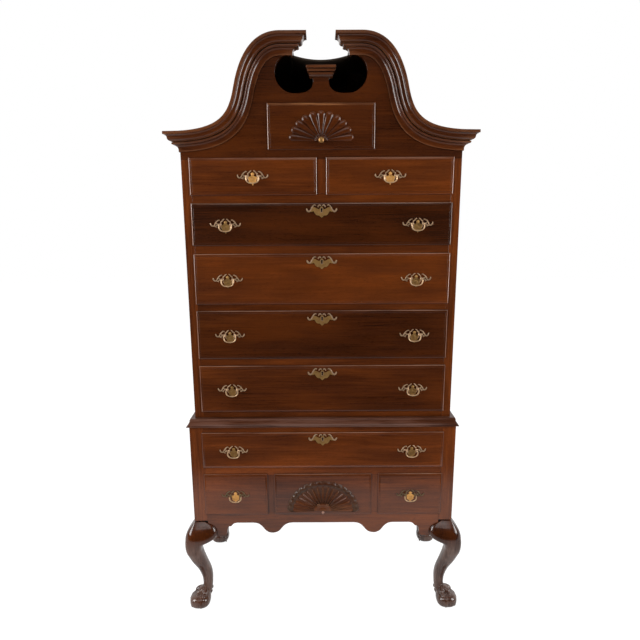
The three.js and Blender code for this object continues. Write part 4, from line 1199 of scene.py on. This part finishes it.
def legs():
    fine = leg_mesh()
    for x_side, y_side, name in ((-1, -1, "front_left_leg"), (1, -1, "front_right_leg"),
                                 (-1, 1, "back_left_leg"), (1, 1, "back_right_leg")):
        corner_y = CASE_BACK if y_side > 0 else LOWER_FACE
        mesh = fine.copy()
        mesh.name = f"{name}_carved"
        mesh.transform(Matrix.Translation((x_side * LOWER_HALF, corner_y, 0))
                       @ Matrix.Diagonal((x_side, y_side, 1, 1)))
        if x_side * y_side < 0:
            mesh.flip_normals()
        wood = mahogany("Z", 51 + x_side, 0.95, 0.5, LEG_DUST_AND_REFLECTION, LEG_COAT, 1.0, 0.35, LEG_DUST_AND_REFLECTION_TOP)
        piece(f"{name}_carved", mesh, "case", [wood], [name])
        post = Shape()
        xs = sorted([x_side * LOWER_HALF, x_side * (LOWER_HALF - LEG_POST)])
        ys = sorted([corner_y, corner_y - y_side * LEG_POST])
        post.box(*xs, *ys, LEG_TOP * POST_FOOT_SHARE, LOWER_TOP)
        post.make(f"{name}_post", "case", [mahogany("Z", 55 + x_side, 2.3)], "mahogany", (), EDGE)


# Drawers

def tail_rows(z0, z1):
    """Middles and half widths of the dovetails between two heights."""
    count = max(round((z1 - z0) / TAIL_PITCH), 2)
    pitch = (z1 - z0) / count
    middles = [z0 + (i + 0.5) * pitch for i in range(count)]
    return middles, pitch * TAIL_WIDE_SHARE, pitch * TAIL_NARROW_SHARE


def drawer_side_outline(y0, y1, z0, z1):
    """A side board of y and z whose front and back ends are cut into dovetails."""
    middles, wide, narrow = tail_rows(z0, z1)
    front = [(y0 + TAIL_DEPTH, z0)]
    for z in middles:
        front += [(y0 + TAIL_DEPTH, z - narrow), (y0, z - wide), (y0, z + wide),
                  (y0 + TAIL_DEPTH, z + narrow)]
    front.append((y0 + TAIL_DEPTH, z1))
    back = [(y1 - DRAWER_SIDE, z1)]
    for z in reversed(middles):
        back += [(y1 - DRAWER_SIDE, z + narrow), (y1, z + wide), (y1, z - wide),
                 (y1 - DRAWER_SIDE, z - narrow)]
    back.append((y1 - DRAWER_SIDE, z0))
    return front + back


# How light each drawer front is
DRAWER_TONES = {
    "shell_drawer": 1.05, "small_drawer_left": 1.6, "small_drawer_right": 1.5,
    "long_drawer_1": 0.72, "long_drawer_2": 1.5, "long_drawer_3": 0.9, "long_drawer_4": 1.25,
    "lower_long_drawer": 1.85, "lower_small_drawer_left": 2.1, "lower_small_drawer_right": 2.0,
    "lower_shell_drawer": 2.0}
# Painted light on the top lip, in patches like wear: its strength, colour and varnish; and then the
# painted highlight on the end lips: strength and colour
TOP_LIP_LIGHT = {
    "lower": (0.6, DULL_LIP_LIGHT, FADED), "shell": (0.7, ORANGE_LIP_LIGHT, BARE),
    "small": (0.3, DULL_LIP_LIGHT, FADED), "long": (0.7, DULL_LIP_LIGHT, FADED)}
END_LIP_HIGHLIGHT = (0.9, PALE_LIP_HIGHLIGHT)
# The lower drawers' end lips are darker by this share: painted shade
LOWER_END_SHADE_SHARE = 0.8


def drawer(name, seed):
    low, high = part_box(name)
    kind = name.split("_")[0]
    lower = kind == "lower"
    face = LOWER_FACE if lower else UPPER_FACE
    x0, x1, z0, z1 = row_box(name)
    thumb = arc(THUMB_WIDTH, face - LIP_EDGE, THUMB_WIDTH,
                LIP_THICKNESS - LIP_EDGE - THUMB_STEP, 180, 270, THUMB_STEPS)
    lip = [(0.0, face - LIP_GAP), *thumb, (THUMB_WIDTH + SMALL_EDGE, face - LIP_THICKNESS)]
    front = Shape()
    front.loft([[(x0 + i, y, z0 + i), (x1 - i, y, z0 + i), (x1 - i, y, z1 - i), (x0 + i, y, z1 - i)]
                for i, y in lip])
    # Rings of the lip that carry painted light: the end lips' painted highlight and the lit top lip
    for ring in range(LIT_LIP_RINGS):
        for side in (1, 3):
            front.slots[ring * 4 + side] = 1
    for ring in range(LIT_LIP_RINGS if "long" in name or lower else len(thumb)):
        front.slots[ring * 4 + 2] = 2
    inset = LIP_OVERLAP + DRAWER_PLAY
    left, right = x0 + inset, x1 - inset - DRAWER_SIDE
    bottom, top = z0 + LIP_OVERLAP + DRAWER_LIFT, z1 - inset
    inner = face + FRONT_THICKNESS
    cover = inner - TAIL_DEPTH
    front.box(left + DRAWER_SIDE, right, face - LIP_GAP, inner, bottom, top)
    for x in (left, right):
        front.box(x, x + DRAWER_SIDE, face - LIP_GAP, cover, bottom, top)
    side_top = z1 - LIP_OVERLAP - SIDE_DROP
    middles, wide, narrow = tail_rows(bottom, side_top)
    edges = [bottom, *[v for z in middles for v in (z - wide, z + wide)], side_top]
    roots = [bottom, *[v for z in middles for v in (z - narrow, z + narrow)], side_top]

    def pins(shape, outer_y, inner_y):
        """The wedges between the dovetails of both sides."""
        for i in range(0, len(edges), 2):
            wedge = [(outer_y, edges[i]), (outer_y, edges[i + 1]),
                     (inner_y, roots[i + 1]), (inner_y, roots[i])]
            for x in (left, right):
                shape.prism(wedge, x + GAP, x + DRAWER_SIDE, side_place)

    pins(front, cover, inner)
    tone = DRAWER_TONES[name]
    ends = (tone * LOWER_END_SHADE_SHARE,) if lower else (tone, *END_LIP_HIGHLIGHT)
    end_lips = mahogany("Z", seed, *ends)
    top_lip = mahogany("X", seed, tone, *TOP_LIP_LIGHT[kind])
    woods = [mahogany("X", seed, tone), end_lips, top_lip]
    front.make(f"{name}_front", name, woods, "mahogany", [name], SMALL_EDGE / 2)

    box = Shape()
    back = high.y
    for x in (left, right):
        box.prism(drawer_side_outline(cover + GAP, back, bottom, side_top), x, x + DRAWER_SIDE,
                  side_place, (), 1)
    box.box(left + DRAWER_SIDE, right, back - DRAWER_SIDE, back, bottom, side_top)
    pins(box, back, back - DRAWER_SIDE)
    box.box(left + DRAWER_SIDE, right, inner, back - DRAWER_SIDE, bottom, bottom + DRAWER_BOTTOM, 2)
    woods = [poplar("X", seed, 1.15), poplar("Y", seed, 1.15), poplar("Y", seed + 1, 1.0)]
    box.make(f"{name}_box", name, woods, "poplar", (), SMALL_EDGE / 2)
    return face


# Carving

def shell(name, body, centre_z, radius, rise, lobes, face, rim, materials):
    """A half-round carved shell on a drawer front, as a relief over rays and rings."""
    steps = lobes * LOBE_STEPS
    front = face - LIP_THICKNESS
    back = front + SHELL_SINK
    rings = []
    for i in range(steps + 1):
        theta = math.pi * i / steps
        scallop = 1 - SCALLOP_SHARES[rim] * (1 - abs(math.sin(theta * lobes))) ** SCALLOP_POWER
        ring = []
        for k in range(SHELL_ROWS + 1):
            rho = k / SHELL_ROWS
            slanted = theta + RIM_SLANT * max(0.0, rho - RIM_START_SHARE) * rim
            height = SHELL_RELIEF * shell_height(rho, abs(math.sin(slanted * lobes)), rim)
            ring.append((math.cos(theta) * radius * rho * scallop, front - height,
                         centre_z + math.sin(theta) * rise * rho * scallop))
        x, _, z = ring[-1]
        rings.append([*ring, (x, back, z)])
    shape = Shape()
    shape.loft(rings, closed=False, caps=False)
    count = len(rings[0])
    if rim:
        shape.slots = [int(min(i % count for i in face) >= RIM_ROW) for face in shape.faces]
    base = len(shape.points)
    shape.points.append((0.0, back, centre_z))
    last = steps * count
    for strip in (range(count), range(last, last + count), range(count - 1, last + count, count)):
        shape.faces.extend([a, b, base] for a, b in zip(strip, strip[1:]))
    shape.slots.extend([0] * (len(shape.faces) - len(shape.slots)))
    if rim:
        for side in (-1, 1):
            curl(shape, side, front - CURL_PROUD, centre_z + CURL_Z)
    shape.make(name, body, materials, "mahogany", (), sharp=ROUND_SHARP)


def curl(shape, side, y, z):
    """A small carved scroll beside the root of the lower shell."""
    start, end = CURL_LINE_RADII
    line = []
    radii = []
    for i in range(CURL_STEPS + 1):
        share = i / CURL_STEPS
        turn = math.radians(CURL_START - CURL_SWEEP * share)
        reach = CURL_RADIUS * (1 - CURL_TIGHTENING_SHARE * share)
        line.append((side * (CURL_X + math.cos(turn) * reach), y, z + math.sin(turn) * reach))
        radii.append(start + (end - start) * share)
    shape.tube(line, radii, CURL_SIDES, 0, (1, 1), Vector((0, 1, 0)))


def bell(value, middle, width):
    return math.exp(-(((value - middle) / width) ** 2))


def ease(value, start, run):
    """Grows from 0 at the start to 1 at the end of the run."""
    return min(1.0, max(0.0, (value - start) / run))


# Relief of the shells. Root: where it ends, over what run, how high. Bead or hollow on the root:
# middle, width, height. Lobe: flat part, its power, power towards the tip, power across, start of
# the tip. Ray: least, height, power, share near the root, end and run. Ring: middle, width, height,
# depth of its valleys. Fall: the last part of the radius.
ROOT_SHARES = {False: (0.17, 0.04, 0.55), True: (0.22, 0.05, 0.45)}
BEAD_SHARES = {False: (0.15, 0.025, 0.35), True: (0.12, 0.035, -0.30)}
LOBE_SHARES = (0.26, 4, 2.4, 1.1, 0.76)
RAY_SHARES = (0.04, 0.85, 2.2, 0.40, 0.81, 0.035)
RING_SHARES = (0.915, 0.085, 0.95, 0.45)
FALL_SHARE = 0.05
FLOOR_SHARE = 0.02


def shell_height(rho, wave, rim):
    """Relief from 0 to 1 at a share of the radius; wave is 1 on a lobe and 0 in a valley."""
    valley = 1 - wave
    end, run, root = ROOT_SHARES[rim]
    middle, width, bead = BEAD_SHARES[rim]
    past_root = ease(rho, end, run)
    root *= 1 - past_root
    bead *= bell(rho, middle, width)
    if rim:
        least, height, power, near, last, run = RAY_SHARES
        rays = least + height * valley ** power * (near + (1 - near) * rho)
        middle, width, height, depth = RING_SHARES
        ring = bell(rho, middle, width) * (height - depth * valley ** 2)
        body = rays * past_root * (1 - ease(rho, last, run)) + ring
        fall = min(1.0, (1 - rho) / FALL_SHARE) ** 0.5
        return max(FLOOR_SHARE, root + bead * (1 - past_root) + body) * fall
    flat, flat_power, tip_power, across_power, tip_start = LOBE_SHARES
    tip = max(0.0, 1 - ease(rho, tip_start, 1 - tip_start) ** 2) ** 0.5
    lobe = flat * (1 - valley ** flat_power) + (1 - flat) * rho ** tip_power * wave ** across_power
    return max(FLOOR_SHARE, root + bead + lobe * tip * past_root)


# Brasses

# Raised scrolls of a pull's plate, right half: place across, place up and half width
PULL_SCROLL_SHARES = [
    [(0.985, 0.115, 0.028), (0.990, 0.045, 0.040), (0.935, -0.050, 0.046), (0.855, -0.090, 0.042),
     (0.775, -0.060, 0.036), (0.710, 0.030, 0.040), (0.655, 0.120, 0.043), (0.590, 0.205, 0.042),
     (0.505, 0.275, 0.038), (0.425, 0.310, 0.034), (0.370, 0.285, 0.025)],
    [(0.860, -0.095, 0.022), (0.730, -0.095, 0.032), (0.640, -0.135, 0.038), (0.590, -0.160, 0.028)],
    [(0.690, -0.105, 0.024), (0.570, -0.030, 0.038), (0.450, 0.020, 0.040), (0.333, 0.000, 0.058)],
    [(0.660, 0.110, 0.026), (0.560, 0.060, 0.032), (0.460, 0.030, 0.036)],
    [(0.333, 0.020, 0.036), (0.300, 0.110, 0.030), (0.325, 0.185, 0.028), (0.250, 0.215, 0.038),
     (0.180, 0.290, 0.042), (0.115, 0.350, 0.038), (0.070, 0.370, 0.024)],
    [(0.333, -0.010, 0.034), (0.245, -0.070, 0.028), (0.150, -0.140, 0.028)],
    [(0.333, -0.010, 0.030), (0.315, -0.110, 0.026), (0.280, -0.190, 0.030),
     (0.215, -0.265, 0.034), (0.120, -0.340, 0.034)]]
# The shield between them: half width and height, from its top to its drop
PULL_SHIELD_SHARES = [
    (0.0, 0.225), (0.065, 0.220), (0.108, 0.190), (0.110, 0.135), (0.088, 0.085), (0.098, 0.035),
    (0.165, 0.0), (0.255, -0.035), (0.290, -0.095), (0.272, -0.160), (0.238, -0.205),
    (0.252, -0.275), (0.238, -0.340), (0.175, -0.405), (0.095, -0.450), (0.045, -0.50),
    (0.030, -0.55), (0.0, -0.59)]
ESCUTCHEON_SCROLL_SHARES = [
    [(0.985, 0.110, 0.036), (0.985, 0.045, 0.052), (0.930, -0.045, 0.060), (0.840, -0.080, 0.058),
     (0.750, -0.030, 0.054), (0.690, 0.060, 0.050), (0.620, 0.190, 0.048), (0.545, 0.295, 0.044),
     (0.465, 0.345, 0.038), (0.385, 0.305, 0.026)],
    [(0.245, 0.190, 0.028), (0.225, 0.260, 0.038), (0.165, 0.325, 0.044), (0.110, 0.330, 0.038),
     (0.060, 0.270, 0.034)]]
ESCUTCHEON_SHIELD_SHARES = [
    (0.0, 0.250), (0.070, 0.215), (0.125, 0.110), (0.190, 0.060), (0.340, 0.125), (0.480, 0.195),
    (0.600, 0.160), (0.700, 0.040), (0.780, -0.050), (0.740, -0.110), (0.640, -0.095),
    (0.545, -0.070), (0.480, -0.160), (0.425, -0.245), (0.350, -0.320), (0.270, -0.345),
    (0.160, -0.355), (0.085, -0.430), (0.0, -0.500)]
# Radius and height of a boss, of a turned post and of a knob
BOSS_SHARES = [(1.0, 0), (0.92, 0.35), (0.72, 0.70), (0.40, 0.92), (0.05, 1.0)]
POST_SHARES = [
    (1.35, 0.0), (1.35, 0.055), (1.13, 0.12), (0.76, 0.18), (0.65, 0.28), (0.73, 0.39),
    (0.92, 0.51), (1.0, 0.66), (0.92, 0.81), (0.68, 0.93), (0.32, 0.985), (0.08, 1.0)]
KNOB_SHARES = [
    (0.62, 0.0), (0.66, 0.05), (0.60, 0.13), (0.40, 0.20), (0.34, 0.32), (0.42, 0.42), (0.80, 0.52),
    (0.98, 0.64), (1.0, 0.74), (0.90, 0.86), (0.62, 0.95), (0.30, 0.99), (0.02, 1.0)]
# How far a shield's bosses lie below its posts, and how wide they are
SHIELD_BOSSES = [(0.0105, 1.25), (-0.0070, 0.7)]


def cast_plate(x, z, face, scrolls, shield, holes=()):
    """Raised scrolls on both sides of a shield; gives the shape, its place and its front."""
    back = face - LIP_THICKNESS - GAP
    front = back - PLATE_THICKNESS
    shape = Shape()

    def place(a, b, depth=back - PLATE_THICKNESS / 2):
        return (x + a, depth, z + b)

    for scroll in scrolls:
        line = spline([tuple(share * PLATE_HALF for share in point) for point in scroll], SCROLL_STEPS)
        for side in (-1, 1):
            shape.tube([place(side * a, b) for a, b, _ in line], [r for _, _, r in line],
                       SCROLL_SIDES, 0, (SCROLL_RISE_SHARE, 1), Vector((0, 1, 0)))
    outline = spline([(a * PLATE_HALF, b * PLATE_HALF) for a, b in shield], SCROLL_STEPS)
    shape.prism(mirrored(outline), front, back, place, holes, 1)
    return shape, place, front


def turned(shape, profile, radius, height, centre, sides):
    """A turned part that points forwards from its centre."""
    x, y, z = centre
    shape.lathe([(r * radius, h * height) for r, h in profile],
                lambda a, b, h: (x + a, y - h, z + b), sides)


def pull_plate(name, body, x, z, face, tarnish, shield):
    """A pierced plate of cast scrolls round a shield, with its two posts; gives the pivot's depth."""
    shape, _, front = cast_plate(x, z, face, PULL_SCROLL_SHARES, PULL_SHIELD_SHARES)
    boss = [(r * SHIELD_BOSS_RADIUS, h * SHIELD_BOSS_RISE) for r, h in BOSS_SHARES]
    for low, grow in SHIELD_BOSSES:
        shape.lathe(boss, lambda a, b, h: (x + a * grow, front - h, z + b - low), ROUND_SIDES, 1)
    for side in (-1, 1):
        turned(shape, POST_SHARES, POST_RADIUS, POST_LENGTH, (x + side * POST_SPACING / 2, front, z),
               ROUND_SIDES)
    shape.make(f"{name}_cast", body, [tarnish, shield], "brass", [name], SMALL_EDGE, CAST_SHARP)
    return front - STANDOFF


# A bail from its pivot to its middle: half width, drop and radius of the rod
BAIL_SHARES = [
    (0.78, 0.0, 0.75), (0.86, 0.0, 0.80), (0.94, 0.04, 1.15), (0.985, 0.16, 1.20),
    (0.985, 0.36, 1.25), (0.94, 0.58, 1.20), (0.80, 0.79, 1.05), (0.56, 0.93, 0.95),
    (0.29, 0.985, 0.98), (0.0, 1.0, 1.15)]


def bail(name, x, y, z):
    right = [(a * BAIL_HALF, -b * BAIL_DROP, r * BAIL_RADIUS) for a, b, r in BAIL_SHARES]
    line = spline([*[(-a, b, r) for a, b, r in right[:-1]], *reversed(right)], BAIL_STEPS)
    shape = Shape()
    shape.tube([(x + a, y, z + b) for a, b, _ in line], [r for _, _, r in line], ROD_SIDES)
    shape.make(f"{name}_cast", name, [BAIL_BRASS], "brass", [name], sharp=ROUND_SHARP)


def keyhole(grow):
    radius = KEYHOLE_RADIUS + grow
    slot = KEYHOLE_SLOT + grow
    start = math.degrees(math.asin(slot / radius))
    round_part = arc(0, KEYHOLE_RISE, radius, radius, -90 + start, 270 - start, KEYHOLE_STEPS)
    foot = KEYHOLE_RISE - KEYHOLE_LENGTH - grow
    return [*round_part, (-slot, foot), (slot, foot)]


def escutcheon(name, body, z, face):
    """The plate of a keyhole: a shield with a raised rim, under open scrolls."""
    shape, place, front = cast_plate(0, z, face, ESCUTCHEON_SCROLL_SHARES, ESCUTCHEON_SHIELD_SHARES,
                                     [keyhole(0.0)])
    back = front + PLATE_THICKNESS
    shape.prism(keyhole(KEYHOLE_RIM), front - KEYHOLE_RIM_RISE, front + GAP, place,
                [keyhole(KEYHOLE_RIM / KEYHOLE_STEPS)])
    shape.make(name, body, [PLATE_BRASS, SHIELD_BRASS], "brass", (), SMALL_EDGE, CAST_SHARP)
    # A near-black sheet in the keyhole behind the plate: painted shade where the hole would be dark
    keyhole_shade = Shape()
    keyhole_shade.prism(keyhole(GAP), back - GAP, back + GAP / 2, place)
    keyhole_shade.make(f"{name}_lock", body, [iron(*KEYHOLE_SHADE_IRON)], "brass")


def knob(name, body, material, centre, radius, length, stands_for):
    """A small turned knob that points forwards."""
    shape = Shape()
    turned(shape, spline(KNOB_SHARES, KNOB_STEPS), radius, length, centre, KNOB_SIDES)
    shape.make(name, body, [material], "brass", stands_for, sharp=ROUND_SHARP)


# Assembly

def fitted_drawer(name, seed):
    """A drawer with its pulls and its escutcheon."""
    face = drawer(name, seed)
    _, _, z0, z1 = row_box(name)
    tarnish = DARK_BRASS if name.startswith("lower_small") else PLATE_BRASS
    # The small drawers' shields carry a painted warm reflection
    shield = WARM_GLINT_BRASS if "small" in name else SHIELD_BRASS
    for node in sorted(frame["nodes"]):
        if node.startswith(name + "_") and node.endswith("_plate"):
            low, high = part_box(node)
            x, z = (low.x + high.x) / 2, (z0 + z1) / 2
            y = pull_plate(node, name, x, z, face, tarnish, shield)
            bail(node[:-len("plate")] + "bail", x, y, z)
    if "long" in name:
        top = z1 + ESCUTCHEON_RISE.get(name, 0)
        escutcheon(f"{name}_escutcheon", name, top - ESCUTCHEON_BELOW_TOP, face)


def pieces():
    upper_case()
    tympanum()
    upper_back()
    waist_moulding()
    lower_front()
    lower_sides_and_back()
    legs()
    for side, word in ((-1, "left"), (1, "right")):
        scroll_moulding(side, f"scroll_moulding_{word}")
        cornice(side, f"cornice_{word}")
        bonnet_roof(side, f"bonnet_roof_{word}")
    valley_board()
    for i, name in enumerate(sorted(DRAWER_TONES)):
        fitted_drawer(name, FIRST_DRAWER_SEED + 2 * i)
    upper_z = row_box("shell_drawer")[2] + SHELL_FOOT
    lower_z = row_box("lower_shell_drawer")[2] + LOWER_SHELL_FOOT
    woods = [mahogany("X", 61, 1.15, varnish=CARVED, hollow_shade=1.1, rub_and_highlight=0.5)]
    shell("upper_shell_carving", "shell_drawer", upper_z, SHELL_RADIUS, SHELL_RISE, SHELL_LOBES,
          UPPER_FACE, False, woods)
    woods = [mahogany("X", 62, 2.1, 0.25, DUST, FADED, 1.1, 1.0),
             mahogany("X", 63, 1.0, 0.6, GRIMY_WEAR, FADED, 1.1, 0.4)]
    shell("lower_shell_carving", "lower_shell_drawer", lower_z, LOWER_SHELL_RADIUS,
          LOWER_SHELL_RISE, LOWER_SHELL_LOBES, LOWER_FACE, True, woods)
    knob("shell_drawer_knob_turned", "shell_drawer", KNOB_BRASS,
         (0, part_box("shell_drawer_knob")[1].y, upper_z), KNOB_RADIUS, KNOB_LENGTH,
         ["shell_drawer_knob"])
    knob("lower_shell_button", "lower_shell_drawer", BUTTON_BRASS,
         (0, LOWER_FACE - LIP_THICKNESS, lower_z - LOWER_KNOB_DROP), LOWER_KNOB_RADIUS,
         LOWER_KNOB_LENGTH, ())


# Stage

def stage():
    """A white floor that keeps the shadow, and is bright where the camera or the gloss sees it."""
    ground = Shape()
    ground.add(FLOOR_CORNERS, [(0, 1, 2, 3)])
    floor = placed("floor", ground.mesh("floor"))
    recipe = Recipe(bpy.data.materials.new("floor_white"))
    diffuse = recipe.put("BsdfDiffuse", {"Color": FLOOR_COLOUR})
    seen = recipe.put("LightPath", {}, "Is Camera Ray")
    mirrored_floor = recipe.put("LightPath", {}, "Is Glossy Ray")
    depth = recipe.put("SeparateXYZ", {0: recipe.coords()}, "Y")
    near = recipe.map_range(depth, PAPER_FRONT - PAPER_FADE, PAPER_FRONT, 0.0, MIRRORED_GLOW)
    strength = recipe.maths("MAXIMUM", recipe.maths("MULTIPLY", seen, SEEN_GLOW),
                            recipe.maths("MULTIPLY", mirrored_floor, near))
    glow = recipe.put("Emission", {"Color": WHITE, "Strength": strength})
    factor = recipe.maths("MAXIMUM", recipe.maths("MULTIPLY", seen, GLOW_SHARE), mirrored_floor)
    recipe.put("OutputMaterial", {0: recipe.put("MixShader", {0: factor, 1: diffuse, 2: glow})})
    floor.data.materials.append(recipe.owner)


def world():
    """White where the camera sees it; a room that is lighter behind the piece."""
    made = bpy.data.worlds.new("studio")
    bpy.context.scene.world = made
    recipe = Recipe(made)
    direction = recipe.put("SeparateXYZ", {0: recipe.coords("Generated")}, "Y")
    room = recipe.map_range(direction, *ROOM_LIGHT)
    strength = recipe.maths("MAXIMUM", recipe.put("LightPath", {}, "Is Camera Ray"), room)
    background = recipe.put("Background", {"Color": WHITE, "Strength": strength})
    recipe.put("OutputWorld", {0: background})


def lamp(name, place, target, width, height, power):
    data = bpy.data.lights.new(name, "AREA")
    data.shape = "RECTANGLE"
    data.size = width
    data.size_y = height
    data.energy = power
    made = placed(name, data)
    made.location = place
    made.rotation_mode = "QUATERNION"
    made.rotation_quaternion = (Vector(target) - Vector(place)).to_track_quat("-Z", "Y")


def camera():
    data = bpy.data.cameras.new("camera")
    data.sensor_fit = "HORIZONTAL"
    data.lens = data.sensor_width * FOCAL_SHARE
    made = placed("camera", data)
    yaw, pitch, roll = (math.radians(a) for a in (CAMERA_YAW, CAMERA_PITCH, CAMERA_ROLL))
    level = Vector((math.sin(yaw), math.cos(yaw), 0))
    ahead = level * math.cos(pitch) + Vector((0, 0, math.sin(pitch)))
    right = Vector((math.cos(yaw), -math.sin(yaw), 0))
    down = ahead.cross(right)
    turned_right = right * math.cos(roll) + down * math.sin(roll)
    turned_down = down * math.cos(roll) - right * math.sin(roll)
    turn = Matrix((turned_right, -turned_down, -ahead)).transposed().to_4x4()
    made.matrix_world = Matrix.Translation(CAMERA_PLACE) @ turn
    bpy.context.scene.camera = made


pieces()
stage()
world()
camera()
for values in LAMPS:
    lamp(*values)
bpy.context.scene.view_settings.view_transform = "Standard"
